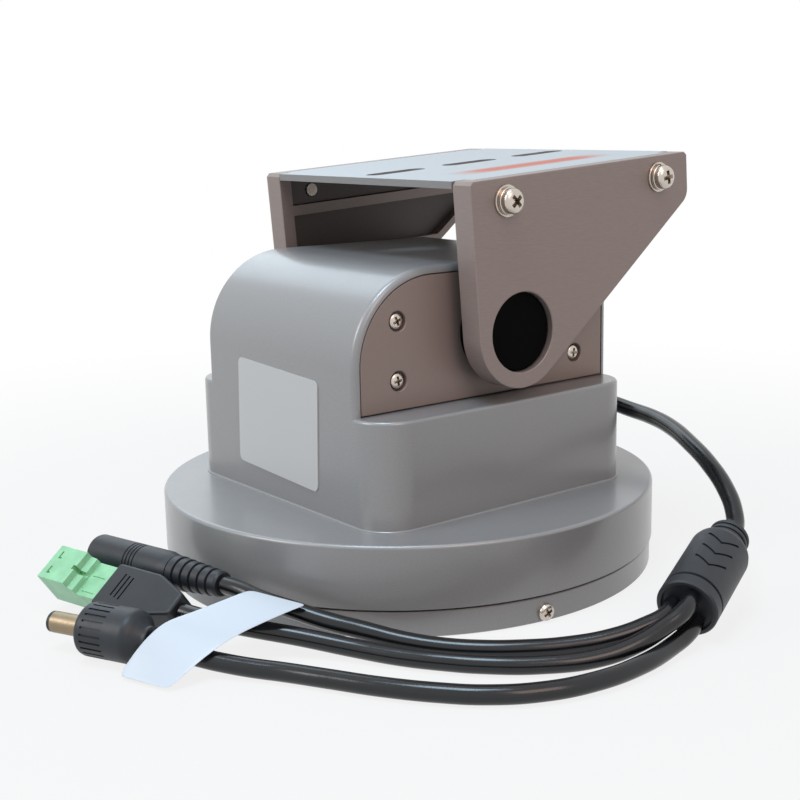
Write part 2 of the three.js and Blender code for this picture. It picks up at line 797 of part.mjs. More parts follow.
add('motor_frame', makeMotorFrame(), 'steel');
add('tilt_gearbox', join(
  motorBody(gearboxRadius, frameFace - gearboxLength, frameFace),
  rod('z', motorBossRadius, frameFace - edgeBreak, frameOuter, screwSides),
).applyMatrix4(axisBases.x).translate(0, tiltMotorY, tiltMotorZ), 'nylon');
const tiltMotorFront = frameFace - gearboxLength;
const tiltMotorBack = tiltMotorGap + motorBossLength - webInner;
add('tilt_motor', join(
  motorBody(motorRadius, tiltMotorBack, tiltMotorFront),
  rod('z', motorBossRadius, tiltMotorBack - motorBossLength, tiltMotorBack + edgeBreak, screwSides),
).applyMatrix4(axisBases.x).translate(0, tiltMotorY, tiltMotorZ), 'steel');

const tiltPinion = new THREE.Group();
tiltPinion.position.set(0, tiltMotorY, tiltMotorZ);
head.add(tiltPinion);
// The direction from the pivot to the pinion, as an angle in the (y, z) plane.
const tiltMeshAngle = (tiltPinionAngle - 90) * degrees;
const tiltPinionFirst = tiltMeshAngle + Math.PI + Math.PI / tiltPinionTeeth;
add('tilt_pinion', join(
  slab(
    'x', gearShape(tiltGearModule, tiltPinionTeeth, tiltPinionFirst),
    tiltGearSide, tiltGearSide + tiltGearThickness,
  ),
  rod('x', pinionShaftRadius, frameOuter + clearance, tiltGearSide + tiltGearThickness, screwSides),
), 'brass', tiltPinion);

function makeTiltSwitch() {
  const [sizeX, sizeY, sizeZ] = tiltSwitchSize;
  const bottom = pivotZ - tiltSwitchDrop;
  const body = block(
    [frameOuter, frameOuter + sizeX],
    [pivotY - sizeY / 2, pivotY + sizeY / 2],
    [bottom, bottom + sizeZ],
  );
  const button = rod('z', edgeBreak, bottom + sizeZ / 2, bottom + sizeZ + tiltSwitchLever, screwSides)
    .translate(frameOuter + sizeX / 2, pivotY, 0);
  return join(body, button);
}

add('tilt_limit_switch', makeTiltSwitch(), 'blackPlastic');

// Control board on standoffs at the back wall

const boardFace = casingHalfDepth - casingWall - boardStandoff;

function makeControlBoard() {
  const front = boardFace - boardThickness;
  const [chipX, chipY, chipZ] = boardChipSize;
  const [plugX, plugY, plugZ] = boardConnectorSize;
  const centreX = boardSide + boardLength / 2;
  const centreZ = boardBottom + boardHeight / 2;
  return join(
    block([boardSide, boardSide + boardLength], [front, boardFace], [boardBottom, boardBottom + boardHeight]),
    block([centreX - chipX / 2, centreX + chipX / 2], [front - chipY, front + boardThickness / 2],
      [centreZ - chipZ / 2, centreZ + chipZ / 2]),
    block([boardSide + plugY, boardSide + plugY + plugX], [front - plugY, front + boardThickness / 2],
      [boardBottom + boardHeight - plugZ - edgeBreak, boardBottom + boardHeight - edgeBreak]),
    rod('y', boardCapacitorRadius, front - boardCapacitorHeight, front + boardThickness / 2, screwSides)
      .translate(centreX + chipX + boardCapacitorRadius, 0, centreZ),
  );
}

add('control_board', makeControlBoard(), 'boardGreen');

// Rating label on the front face

function makeLabel() {
  const shape = roundedRectangle(labelWidth / 2, labelHeight / 2, labelCornerRadius);
  return slab('z', shape, 0, labelThickness)
    .rotateZ(labelTurn * degrees)
    .rotateX(Math.PI / 2)
    .translate(0, -casingHalfDepth, labelCentreHeight);
}

add('rating_label', makeLabel(), 'whiteLabel');

// Cable gland at the back of the casing

add('cable_gland', join(
  rod('y', glandFlangeRadius, casingHalfDepth, casingHalfDepth + glandFlangeThickness, roundSides),
  rod(
    'y', glandBodyRadius, casingHalfDepth - glandBodyDepth, casingHalfDepth + glandFlangeThickness / 2,
    screwSides,
  ),
  rod('y', glandTailRadius, casingHalfDepth, casingHalfDepth + glandFlangeThickness + glandTailLength, screwSides),
).translate(glandX, 0, glandZ), 'blackPlastic');

// Cords. The routes are lists of places in the part's frame, from where a cord leaves to its end.

function cord(points, radius, steps) {
  const curve = new THREE.CatmullRomCurve3(points.map((p) => new THREE.Vector3(...p)), false, 'centripetal');
  const section = polygon(Array.from({ length: cableSides }, (_, i) => {
    const angle = (i * 2 * Math.PI) / cableSides;
    return [radius * Math.cos(angle), radius * Math.sin(angle)];
  }));
  return new THREE.ExtrudeGeometry(section, { steps, bevelEnabled: false, extrudePath: curve });
}

// Puts a shape drawn along Z at a place, with Z turned to a direction.
function along(geometry, place, direction) {
  const turn = new THREE.Quaternion().setFromUnitVectors(
    new THREE.Vector3(0, 0, 1), new THREE.Vector3(...direction).normalize(),
  );
  return geometry.applyQuaternion(turn).translate(...place);
}

const mainRoute = [
  [0, 57.9, 41.2], [0.6, 63.2, 41.1], [4.7, 69.5, 40.3], [13.1, 73.7, 38.9], [24.5, 74.3, 37.6],
  [36.1, 71.9, 37.3], [47.7, 67.7, 36.6], [61.3, 61.3, 34.6], [73.6, 55.6, 31.4], [83.1, 51.2, 27],
  [89.5, 47.2, 22.6], [93.4, 42.9, 19.2], [95, 38.9, 18.1],
];
const jackRoute = [
  [104.7, 3.7, 9.3], [106.2, -0.1, 8.2], [104.7, -6.1, 6.4], [101, -14.6, 4.4], [94.7, -24.4, 3],
  [87.9, -33.6, 2.6], [81.1, -41.1, 2.5], [73.5, -47.5, 2.6], [65.2, -53.5, 3.4], [57.3, -59.4, 5.2],
  [49.4, -65.9, 7.3], [41.1, -71.1, 9.4], [32.9, -75.3, 11], [25.8, -77.3, 12.1], [20.8, -78.4, 12.2],
];
const terminalRoute = [
  [109.8, 4.9, 12.1], [111.4, 0.8, 10.8], [110.9, -5.8, 8.2], [109.3, -15.3, 5.2], [105.7, -24.6, 3.3],
  [98.2, -36.1, 2.5], [88.3, -47, 2.5], [80.4, -53.1, 2.5], [71.2, -58.9, 2.5], [59.6, -65.7, 3.2],
  [48.8, -73.5, 4.8], [39.1, -81.6, 6.4], [30.3, -87.9, 7.6], [21.4, -91.2, 8],
];
const plugRoute = [
  [109.7, 6.8, 5.3], [111.1, 3.1, 4.3], [112.3, -4.8, 2.9], [114.4, -18.4, 2.5], [113.6, -34.8, 2.5],
  [109.3, -47.5, 2.5], [102.3, -57.6, 2.5], [94.4, -64.8, 2.5], [82.5, -73.1, 2.5], [70.7, -79.7, 2.5],
  [60.1, -85.6, 2.5],
  [53, -90.6, 2.8], [47.5, -94.4, 3.3], [43.6, -97, 3.8], [39.6, -99.6, 4.6], [36, -101.9, 5.9],
  [31.3, -104.5, 6.9],
];
add('main_cable', cord(mainRoute, mainCableRadius, 13), 'blackPvc');
add('jack_cable', cord(jackRoute, branchCableRadius, 15), 'blackPvc');
add('terminal_cable', cord(terminalRoute, branchCableRadius, 15), 'blackPvc');
add('plug_cable', cord(plugRoute, branchCableRadius, 17), 'blackPvc');

// Splitter body, drawn from the neck's end along its axis

const splitterPlace = [95.1, 38.6, 18];
const splitterDirection = [0.35, -0.9, -0.25];

function makeSplitter() {
  const end = splitterNeckLength + splitterLength;
  const neckGrooves = Array.from({ length: splitterNeckGrooves }, (_, i) => i + 1).flatMap((i) => {
    const z = (i * splitterNeckLength) / (splitterNeckGrooves + 1) - splitterGrooveWidth / 2;
    return [
      [splitterNeckRadius, z],
      [splitterNeckRadius - splitterGrooveDepth, z],
      [splitterNeckRadius - splitterGrooveDepth, z + splitterGrooveWidth],
      [splitterNeckRadius, z + splitterGrooveWidth],
    ];
  });
  const ring = end - splitterShoulder - splitterGrooveWidth;
  return lathe([
    [0, 0],
    [splitterNeckRadius - splitterGrooveDepth, 0],
    ...neckGrooves,
    [splitterNeckRadius, splitterNeckLength],
    [splitterRadius - splitterGrooveDepth, splitterNeckLength + splitterShoulder / 2],
    [splitterRadius, splitterNeckLength + splitterShoulder],
    [splitterRadius, ring],
    [splitterRadius - splitterGrooveDepth, ring],
    [splitterRadius - splitterGrooveDepth, ring + splitterGrooveWidth],
    [splitterRadius, ring + splitterGrooveWidth],
    [splitterRadius, end],
    [splitterRadius - splitterMouthRim, end],
    [splitterRadius - splitterMouthRim, end - splitterMouthDepth],
    [0, end - splitterMouthDepth],
  ], connectorSides);
}

add('splitter', along(makeSplitter(), splitterPlace, splitterDirection), 'blackPlastic');

// Jack and boot, drawn from the jack's mouth along the axis

const jackPlace = [-27.3, -91, 12.2];
const jackDirection = [0.967, 0.253, 0];

function makeJack() {
  const body = lathe([
    [0, 0],
    [jackRadius - edgeBreak, 0],
    [jackRadius, edgeBreak],
    [jackRadius, jackLength - 2 * edgeBreak],
    [bootStartRadius, jackLength],
    [0, jackLength],
  ], connectorSides);
  return join(
    cut(body, rod('z', jackBore, -cutOverrun, jackBoreDepth, screwSides)),
    rod('z', jackPinRadius, edgeBreak, jackBoreDepth + edgeBreak, cableSides),
  );
}

function makeBoot() {
  const pitch = bootLength / bootRings;
  const radius = (z) => bootStartRadius + ((bootEndRadius - bootStartRadius) * z) / bootLength;
  const profile = [[0, 0]];
  for (let i = 0; i < bootRings; i += 1) {
    const z = i * pitch;
    profile.push([radius(z), z], [radius(z), z + pitch - bootRingGap]);
    if (i < bootRings - 1) {
      profile.push([radius(z) - bootRingDepth, z + pitch - bootRingGap], [radius(z) - bootRingDepth, z + pitch]);
    }
  }
  profile.push([radius(bootLength), bootLength], [0, bootLength]);
  return lathe(profile, connectorSides).translate(0, 0, jackLength + clearance);
}

add('dc_jack', along(makeJack(), jackPlace, jackDirection), 'blackPlastic');
add('jack_boot', along(makeBoot(), jackPlace, jackDirection), 'blackPlastic');

// Terminal adapter and screw terminal, rolled about their shared axis

const adapterPlace = [-5.3, -97.9, 8];
const adapterDirection = new THREE.Vector3(0.969, 0.245, 0).normalize();
const adapterRoll = 35;
const adapterUp = new THREE.Vector3(0, 0, 1).applyAxisAngle(adapterDirection, adapterRoll * degrees);
const adapterAcross = new THREE.Vector3().crossVectors(adapterUp, adapterDirection);

function onAdapter(geometry) {
  const turn = new THREE.Matrix4().makeBasis(adapterDirection, adapterAcross, adapterUp);
  return geometry.applyMatrix4(turn).translate(...adapterPlace);
}

function makeAdapter() {
  const outline = polygon([
    [0, -adapterHalfWidth],
    [adapterStraight, -adapterHalfWidth],
    [adapterLength, -adapterEndHalfWidth],
    [adapterLength, adapterEndHalfWidth],
    [adapterStraight, adapterHalfWidth],
    [0, adapterHalfWidth],
  ]);
  return slab('z', outline, -adapterThickness / 2, adapterThickness / 2, adapterBevel);
}

function makeTerminal() {
  const seat = -clearance;
  const high = seat - terminalStep - terminalSlope;
  const side = polygon([
    [seat, -terminalBottom],
    [seat, terminalLowTop],
    [seat - terminalStep, terminalLowTop],
    [high, terminalHighTop],
    [seat - terminalLength, terminalHighTop],
    [seat - terminalLength, -terminalBottom],
  ].reverse());
  const body = slab('z', side, -terminalHalfWidth, terminalHalfWidth).rotateX(Math.PI / 2);
  const screwPlace = (high + seat - terminalLength) / 2;
  const holes = [-1, 1].map((half) => rod(
    'z', terminalScrewRadius, terminalHighTop - terminalScrewDepth, terminalHighTop + cutOverrun, cableSides,
  ).translate(screwPlace, (half * terminalPitch) / 2, 0));
  return cut(body, ...holes);
}

add('terminal_adapter', onAdapter(makeAdapter()), 'blackPlastic');
add('terminal_plug', onAdapter(makeTerminal()), 'greenPlastic');

// Barrel plug, drawn from the body's front along the axis to its tail, the barrel ahead of it

const plugPlace = [12.9, -113, 7];
const plugDirection = [0.908, 0.418, 0];

add('dc_plug', along(lathe([
  [0, 0],
  [plugRadius - plugFrontChamfer, 0],
  [plugRadius, plugFrontChamfer],
  [plugRadius, plugLength],
  [plugRadius - plugFrontChamfer, plugLength + plugFrontChamfer],
  [plugTailRadius, plugLength + plugTailLength],
  [plugTailRadius, plugLength + plugTailLength + plugFrontChamfer],
  [0, plugLength + plugTailLength + plugFrontChamfer],
], connectorSides), plugPlace, plugDirection), 'blackPlastic');
add('dc_plug_barrel', along(cut(
  rod('z', barrelRadius, -barrelLength - clearance, -clearance, connectorSides),
  rod('z', barrelBore, -barrelLength - cutOverrun, -clearance - edgeBreak, cableSides),
), plugPlace, plugDirection), 'platedBarrel');

// Flag, a strip folded over the first branch that hangs across the others to the surface below.
// Each row is a place along the strip: y and z in the middle, then their rise per mm of width.

const flagCentre = 39.4;
const flagRows = [
  [-73.4, 12.5, 0.51, -0.12], [-76.5, 12.4, 0.51, -0.12], [-80.6, 11.9, 0.48, -0.12],
  [-86.1, 11.2, 0.48, -0.13], [-91.8, 10.5, 0.47, -0.15], [-97.2, 9.6, 0.43, -0.23],
  [-100.8, 8.3, 0.38, -0.27], [-105.6, 5.7, 0.34, -0.24], [-109.5, 2.7, 0.34, -0.12], [-112.1, 0.5, 0.37, 0],
];

function makeFlag() {
  const upper = flagRows.map(([y, z]) => [y, z + flagThickness]);
  const lower = flagRows.map(([y, z]) => [y, z]).reverse();
  const strip = slab('x', polygon([...upper, ...lower]), -flagWidth / 2, flagWidth / 2);
  const places = strip.attributes.position;
  for (let i = 0; i < places.count; i += 1) {
    const x = places.getX(i);
    const row = flagRows.reduce((best, each) => (
      Math.abs(each[0] - places.getY(i)) < Math.abs(best[0] - places.getY(i)) ? each : best));
    places.setXYZ(i, flagCentre + x, places.getY(i) + row[2] * x, places.getZ(i) + row[3] * x);
  }
  return strip;
}

add('cable_flag', makeFlag(), 'whiteLabel');

// Tilting bracket, drawn about the pivot in its own (y, z) frame

const pocketFloor = plateInner + pocketDepth;

function sidePlateShape() {
  const cornerZ = sidePlateRise - sidePlateBackEdge;
  const distance = Math.hypot(sidePlateReach, cornerZ);
  const slope = Math.atan2(cornerZ, sidePlateReach) + Math.asin(sidePlateEndRadius / distance);
  const turn = (Math.PI / 2 - slope) / 2;
  const setBack = sidePlateCornerRadius * Math.tan(turn);
  const centreY = sidePlateReach - sidePlateCornerRadius;
  const centreZ = cornerZ + setBack;
  const shape = new THREE.Shape();
  shape.absarc(0, 0, sidePlateEndRadius, Math.PI, 1.5 * Math.PI + slope);
  shape.absarc(centreY, centreZ, sidePlateCornerRadius, slope - Math.PI / 2, 0);
  shape.lineTo(sidePlateReach, sidePlateRise - sidePlateTopCorner);
  shape.lineTo(sidePlateReach - sidePlateTopCorner, sidePlateRise);
  shape.lineTo(-sidePlateEndRadius + sidePlateTopCorner, sidePlateRise);
  shape.lineTo(-sidePlateEndRadius, sidePlateRise - sidePlateTopCorner);
  shape.closePath();
  return { shape, slope };
}

const pocketFront = -sidePlateEndRadius + pocketRim;
const pocketBack = sidePlateReach - pocketRim;

function makeSidePlate() {
  const { shape, slope } = sidePlateShape();
  const diagonalAt = (z) => (z * Math.cos(slope) + sidePlateEndRadius - pocketDiagonalRim) / Math.sin(slope);
  const lowerPocket = polygon([
    [pocketFront, pocketFloorHeight],
    [diagonalAt(pocketFloorHeight), pocketFloorHeight],
    [diagonalAt(ribBottom), ribBottom],
    [pocketFront, ribBottom],
  ]);
  const upperPocket = polygon([
    [pocketFront, ribTop],
    [pocketBack, ribTop],
    [pocketBack, sidePlateRise + cutOverrun],
    [pocketFront, sidePlateRise + cutOverrun],
  ]);
  const screwHoles = [bracketScrewFront, bracketScrewBack].map((y) => rod(
    'x', bracketScrewRadius + clearance, plateInner - cutOverrun, bracketHalfWidth + cutOverrun, screwSides,
  ).translate(0, y, bracketScrewHeight));
  return cut(
    slab('x', shape, plateInner, bracketHalfWidth, edgeBreak / 2, 1),
    slab('x', lowerPocket, plateInner - cutOverrun, pocketFloor),
    slab('x', upperPocket, plateInner - cutOverrun, pocketFloor),
    rod('x', sidePlateHoleRadius, plateInner - cutOverrun, bracketHalfWidth + cutOverrun),
    ...screwHoles,
  );
}

const sheetBottom = sidePlateRise - topPlateThickness;
const sheetNarrow = plateInner - clearance;
const sheetWide = pocketFloor - clearance;

function makeTopPlate() {
  const front = -sidePlateEndRadius;
  const from = pocketFront + clearance;
  const to = pocketBack - clearance;
  const outline = polygon([
    [-sheetNarrow, front], [sheetNarrow, front], [sheetNarrow, from], [sheetWide, from],
    [sheetWide, to], [sheetNarrow, to], [sheetNarrow, sidePlateReach], [-sheetNarrow, sidePlateReach],
    [-sheetNarrow, to], [-sheetWide, to], [-sheetWide, from], [-sheetNarrow, from],
  ]);
  const flanges = [-1, 1].map((side) => {
    const x = [side * (sheetWide - topPlateFlange), side * sheetWide].sort((a, b) => a - b);
    return block(x, [from, to], [ribTop + clearance, sidePlateRise - topPlateThickness / 2]);
  });
  const holes = [bracketScrewFront, bracketScrewBack].map((y) => rod(
    'x', bracketScrewRadius + clearance, -bracketHalfWidth, bracketHalfWidth, screwSides,
  ).translate(0, y, bracketScrewHeight));
  for (let i = 0; i < slotCount; i += 1) {
    const slot = roundedRectangle(slotWidth / 2, slotLength / 2, slotWidth / 2 - edgeBreak / 4);
    holes.push(slab('z', slot, sheetBottom - cutOverrun, sidePlateRise + cutOverrun)
      .translate(slotOffset, slotFirst + i * slotSpacing, 0));
  }
  return cut(join(slab('z', outline, sheetBottom, sidePlateRise), ...flanges), ...holes);
}

// A bracket screw with its spring washer and flat washer, head towards +X.
function makeBracketScrew() {
  const seat = bracketHalfWidth + bracketWasherThickness + springWasherThickness;
  const length = seat - (pocketFloor - clearance - topPlateFlange) + bracketScrewTip;
  const screw = panHeadScrew(bracketScrewRadius, length, bracketScrewHeadRadius, bracketScrewHeadHeight, seat);
  return join(
    screw,
    rod('x', bracketWasherRadius, bracketHalfWidth, bracketHalfWidth + bracketWasherThickness, 2 * screwSides),
    rod('x', springWasherRadius, bracketHalfWidth + bracketWasherThickness / 2, seat + edgeBreak / 4, screwSides),
  );
}

function makeTiltHub() {
  const flangeFrom = casingSide + clearance;
  const outerEnd = bracketHalfWidth - hubRecess;
  return cut(
    join(
      rod('x', hubFlangeRadius, flangeFrom, plateInner),
      rod('x', sidePlateHoleRadius - clearance, plateInner - edgeBreak, outerEnd),
    ),
    rod('x', tiltShaftRadius + clearance, flangeFrom - cutOverrun, outerEnd - hubEndThickness),
  );
}

add('top_plate', makeTopPlate(), 'topSheet', bracket);
for (const [word, side] of [['right', 1], ['left', -1]]) {
  add(`${word}_side_plate`, mirrored(makeSidePlate(), side), 'anodised', bracket);
  add(`${word}_tilt_hub`, mirrored(makeTiltHub(), side), 'blackPlastic', bracket);
  [bracketScrewFront, bracketScrewBack].forEach((y, i) => {
    const screw = makeBracketScrew().translate(0, y, bracketScrewHeight);
    add(`${word}_bracket_screw_${i + 1}`, mirrored(screw, side), 'nickel', bracket);
  });
}
const shaftEnd = bracketHalfWidth - hubRecess - hubEndThickness - clearance;
add('tilt_shaft', rod('x', tiltShaftRadius, -shaftEnd, shaftEnd), 'steel', bracket);
// In the bracket's frame the pinion lies back from its true direction by the rest tilt.
const tiltGearFirst = tiltMeshAngle - restTilt * degrees;
add('tilt_gear', cut(
  join(
    slab('x', gearShape(tiltGearModule, tiltGearTeeth, tiltGearFirst), tiltGearSide, tiltGearSide + tiltGearThickness),
    rod('x', gearHubRadius - gearHubHeight, tiltGearSide, webOuter - coverBossLength - clearance),
  ),
  rod('x', tiltShaftRadius + clearance, tiltGearSide - cutOverrun, webOuter),
), 'brass', bracket);

export default head;
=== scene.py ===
# Looks for a small motorised pan and tilt head: painted base and casing, brushed bracket, black cords.
# Shapes are drawn in millimetres in the part's own frame and turned to metres when a piece is finished.
import bpy
import bmesh
import math
from mathutils import Matrix, Vector


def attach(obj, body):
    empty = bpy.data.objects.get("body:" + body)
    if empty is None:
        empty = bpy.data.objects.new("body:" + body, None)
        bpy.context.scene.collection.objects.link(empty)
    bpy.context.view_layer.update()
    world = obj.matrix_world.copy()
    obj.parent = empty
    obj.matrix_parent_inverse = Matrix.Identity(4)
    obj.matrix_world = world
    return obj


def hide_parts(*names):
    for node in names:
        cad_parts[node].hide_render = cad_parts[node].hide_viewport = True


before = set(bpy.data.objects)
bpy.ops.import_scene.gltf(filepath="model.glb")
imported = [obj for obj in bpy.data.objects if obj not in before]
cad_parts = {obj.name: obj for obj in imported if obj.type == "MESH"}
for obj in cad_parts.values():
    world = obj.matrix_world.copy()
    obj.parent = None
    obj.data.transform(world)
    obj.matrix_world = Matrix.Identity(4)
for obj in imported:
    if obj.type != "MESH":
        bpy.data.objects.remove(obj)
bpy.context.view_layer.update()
millimetre = 0.001
fullTurn = 2 * math.pi
overrun = 2      # how far a cutting tool passes the surface that it cuts
print("stage: frame loaded")


def placed(name, data):
    obj = bpy.data.objects.new(name, data)
    bpy.context.scene.collection.objects.link(obj)
    return obj


def picked(facts, *names):
    return [facts[name] for name in names]


def placeAt(x, y, z):
    return Matrix.Translation((x, y, z))


# camera

camera = {
    "place": (317.1, -242.81, 131.7),
    "forward": (-0.74522, 0.63871, -0.19154),
    "up": (-0.13993, 0.13106, 0.98145),
    "sensor": 36,
    "lens": 59.262,
    "shift": (-0.1, -0.025),
    "clip": (0.01, 20),
}

camData = bpy.data.cameras.new("camera")
camData.sensor_width = camera["sensor"]
camData.lens = camera["lens"]
camData.shift_x, camData.shift_y = camera["shift"]
camData.clip_start, camData.clip_end = camera["clip"]
camObject = placed("camera", camData)
back = -Vector(camera["forward"]).normalized()
right = Vector(camera["up"]).cross(back).normalized()
camTurn = Matrix((right, back.cross(right), back)).transposed().to_4x4()
camObject.matrix_world = Matrix.Translation(Vector(camera["place"]) * millimetre) @ camTurn
bpy.context.scene.camera = camObject
bpy.context.scene.view_settings.view_transform = "Standard"

# light and stage, in metres

light = {
    "skyColour": (0.93, 0.96, 1.0),
    "skyLevel": 0.3,
    "aim": (0, 0, 0.05),
    "lamps": {
        "keyLight": {"place": (-0.35, -1.3, 0.85), "size": 0.6, "watts": 7.3, "colour": (1.0, 0.99, 0.98)},
        "fillLight": {"place": (1.2, -0.25, 0.95), "size": 0.7, "watts": 5.2, "colour": (1.0, 0.7, 0.6)},
        "windowLight": {"place": (-1.05, 0.25, 0.95), "size": 0.9, "watts": 3.6, "colour": (0.7, 0.87, 1.0)},
        "overheadLight": {"place": (0.1, -0.35, 1.35), "size": 0.5, "watts": 10, "colour": (0.62, 0.83, 1.0)},
    },
}

for name, facts in light["lamps"].items():
    data = bpy.data.lights.new(name, "AREA")
    data.shape = "SQUARE"
    data.size, data.energy, data.color = picked(facts, "size", "watts", "colour")
    lamp = placed(name, data)
    lamp.location = facts["place"]
    lamp.rotation_euler = (Vector(light["aim"]) - lamp.location).to_track_quat("-Z", "Y").to_euler()


def setInputs(tree, node, inputs):
    # each input gets a value or another node's output
    for name, value in inputs.items():
        if isinstance(value, bpy.types.NodeSocket):
            tree.links.new(value, node.inputs[name])
        else:
            node.inputs[name].default_value = value
    return node


def addNode(tree, kind, inputs):
    return setInputs(tree, tree.nodes.new("ShaderNode" + kind), inputs)


def mathNode(tree, operation, *values):
    node = addNode(tree, "Math", dict(enumerate(values)))
    node.operation = operation
    return node.outputs[0]


def smoothFade(tree, value, start, end, low, high):
    fade = addNode(tree, "MapRange", {"Value": value, "From Min": start, "From Max": end,
                                      "To Min": low, "To Max": high})
    fade.interpolation_type = "SMOOTHSTEP"
    return fade.outputs["Result"]


def seenDirectly(tree):
    # 1 where the camera, a mirror or glass looks straight at this surface
    path = tree.nodes.new("ShaderNodeLightPath")
    first = mathNode(tree, "MAXIMUM", path.outputs["Is Camera Ray"], path.outputs["Is Glossy Ray"])
    return mathNode(tree, "MAXIMUM", first, path.outputs["Is Transmission Ray"])


def evenColour(tree, kind, colour, more={}):
    return addNode(tree, kind, {"Color": (*colour, 1), **more}).outputs[0]


def mixOut(tree, kind, *sources):
    # the share seen directly, then the plain surface, then the seen one
    mix = addNode(tree, "MixShader", dict(enumerate(sources)))
    addNode(tree, kind, {"Surface": mix.outputs[0]})


white = (1, 1, 1)
world = bpy.data.worlds.new("studio")
bpy.context.scene.world = world
world.use_nodes = True
sky = world.node_tree
sky.nodes.clear()
mixOut(sky, "OutputWorld", seenDirectly(sky),
       evenColour(sky, "Background", light["skyColour"], {"Strength": light["skyLevel"]}),
       evenColour(sky, "Background", white))

floor = {
    "half": 4, "below": 0.0002, "paper": (0.55, 0.55, 0.55),
    "fade": (0.1, 0.45, 0.83, 1.0),    # away from the middle, from and to, and the share of white at both
}


def makeFloor():
    bm = bmesh.new()
    bmesh.ops.create_grid(bm, x_segments=1, y_segments=1, size=floor["half"])
    mesh = bpy.data.meshes.new("floor")
    bm.to_mesh(mesh)
    bm.free()
    obj = placed("floor", mesh)
    paper = bpy.data.materials.new("whitePaper")
    paper.use_nodes = True
    tree = paper.node_tree
    tree.nodes.clear()
    away = addNode(tree, "VectorMath", {0: addNode(tree, "TexCoord", {}).outputs["Object"]})
    away.operation = "LENGTH"
    fade = smoothFade(tree, away.outputs["Value"], *floor["fade"])
    mixOut(tree, "OutputMaterial", mathNode(tree, "MULTIPLY", seenDirectly(tree), fade),
           evenColour(tree, "BsdfDiffuse", floor["paper"]), evenColour(tree, "Emission", white))
    mesh.materials.append(paper)
    obj.location.z = -floor["below"]


makeFloor()
print("stage: camera, light and floor made")

# finishes

finishes = {}


def newFinish(name, colour, metal, rough, coat=0.0, coatRough=0.03):
    material = bpy.data.materials.new(name)
    material.use_nodes = True
    tree = material.node_tree
    shader = setInputs(tree, tree.nodes["Principled BSDF"], {
        "Base Color": (*colour, 1), "Metallic": metal, "Roughness": rough, "Coat Weight": coat,
        "Coat Roughness": coatRough})
    finishes[name] = material
    return tree, shader


def placeOn(tree, stretch=(1, 1, 1)):
    # the piece's own coordinates in millimetres, stretched for a pattern
    where = addNode(tree, "TexCoord", {}).outputs["Object"]
    size = [each / millimetre for each in stretch]
    return addNode(tree, "Mapping", {"Vector": where, "Scale": size}).outputs["Vector"]


def grain(tree, scale, detail=2.0, rough=0.5, stretch=(1, 1, 1)):
    noise = addNode(tree, "TexNoise", {"Vector": placeOn(tree, stretch), "Scale": scale, "Detail": detail,
                                       "Roughness": rough})
    return noise.outputs["Fac"]


def shades(tree, factor, colour, *stops):
    # a ramp of one colour, as (place, share of the colour) pairs
    ramp = tree.nodes.new("ShaderNodeValToRGB")
    elements = ramp.color_ramp.elements
    elements[0].position = stops[0][0]
    elements[1].position = stops[-1][0]
    for at, share in stops[1:-1]:
        elements.new(at)
    for element, (at, share) in zip(elements, stops):
        element.color = (*[each * share for each in colour], 1)
    tree.links.new(factor, ramp.inputs["Fac"])
    return ramp.outputs["Color"]


def spread(tree, factor, low, high):
    return addNode(tree, "MapRange", {"Value": factor, "To Min": low, "To Max": high}).outputs["Result"]


def relief(tree, shader, height, strength, depth):
    bump = addNode(tree, "Bump", {"Height": height, "Strength": strength, "Distance": depth * millimetre})
    tree.links.new(bump.outputs["Normal"], shader.inputs["Normal"])


def dress(tree, shader, colour, rough):
    setInputs(tree, shader, {"Base Color": colour, "Roughness": rough})


def flakePaint(name, colour, metal, rough):
    # satin paint with fine metal flakes and a faint orange peel
    tree, shader = newFinish(name, colour, metal, rough, coat=0.6, coatRough=0.18)
    flakes = grain(tree, scale=7.0, rough=0.7)
    dress(tree, shader, shades(tree, flakes, colour, (0.32, 0.9), (0.5, 1), (0.7, 1.16)),
          spread(tree, grain(tree, scale=0.12), rough - 0.05, rough + 0.05))
    relief(tree, shader, grain(tree, scale=1.3, detail=1), strength=0.05, depth=0.2)


def brushedMetal(name, colour, metal, rough, stretch):
    # fine lines left by the brushing
    tree, shader = newFinish(name, colour, metal, rough)
    lines = grain(tree, scale=1.0, detail=3, rough=0.6, stretch=stretch)
    dress(tree, shader, shades(tree, lines, colour, (0.3, 0.93), (0.7, 1.07)),
          spread(tree, lines, rough - 0.06, rough + 0.06))
    relief(tree, shader, lines, strength=0.12, depth=0.03)


def plainMetal(name, colour, rough):
    tree, shader = newFinish(name, colour, 1.0, rough)
    dress(tree, shader, shades(tree, grain(tree, scale=0.5), colour, (0.3, 0.92), (0.7, 1)),
          spread(tree, grain(tree, scale=0.9), rough - 0.06, rough + 0.1))


def mouldedPlastic(name, colour, rough, depth=0.02, level=0.5):
    tree, shader = newFinish(name, colour, 0.0, rough)
    shader.inputs["Specular IOR Level"].default_value = level
    dress(tree, shader, shades(tree, grain(tree, scale=0.25), colour, (0.3, 0.9), (0.7, 1.1)),
          spread(tree, grain(tree, scale=0.6), rough - 0.05, rough + 0.05))
    relief(tree, shader, grain(tree, scale=6), strength=0.2, depth=depth)


def paperFilm(name, colour, rough):
    # glossy sticker film with a very fine tooth
    tree, shader = newFinish(name, colour, 0.0, rough, coat=0.2, coatRough=0.2)
    tooth = grain(tree, scale=9)
    dress(tree, shader, shades(tree, tooth, colour, (0.3, 0.98), (0.7, 1.02)),
          spread(tree, tooth, rough - 0.04, rough + 0.04))
    relief(tree, shader, tooth, strength=0.08, depth=0.01)


def band(tree, value, middle, half, soft):
    # 1 near the middle, fading to 0 past half
    away = mathNode(tree, "ABSOLUTE", mathNode(tree, "SUBTRACT", value, middle))
    return smoothFade(tree, away, half, half + soft, 1, 0)


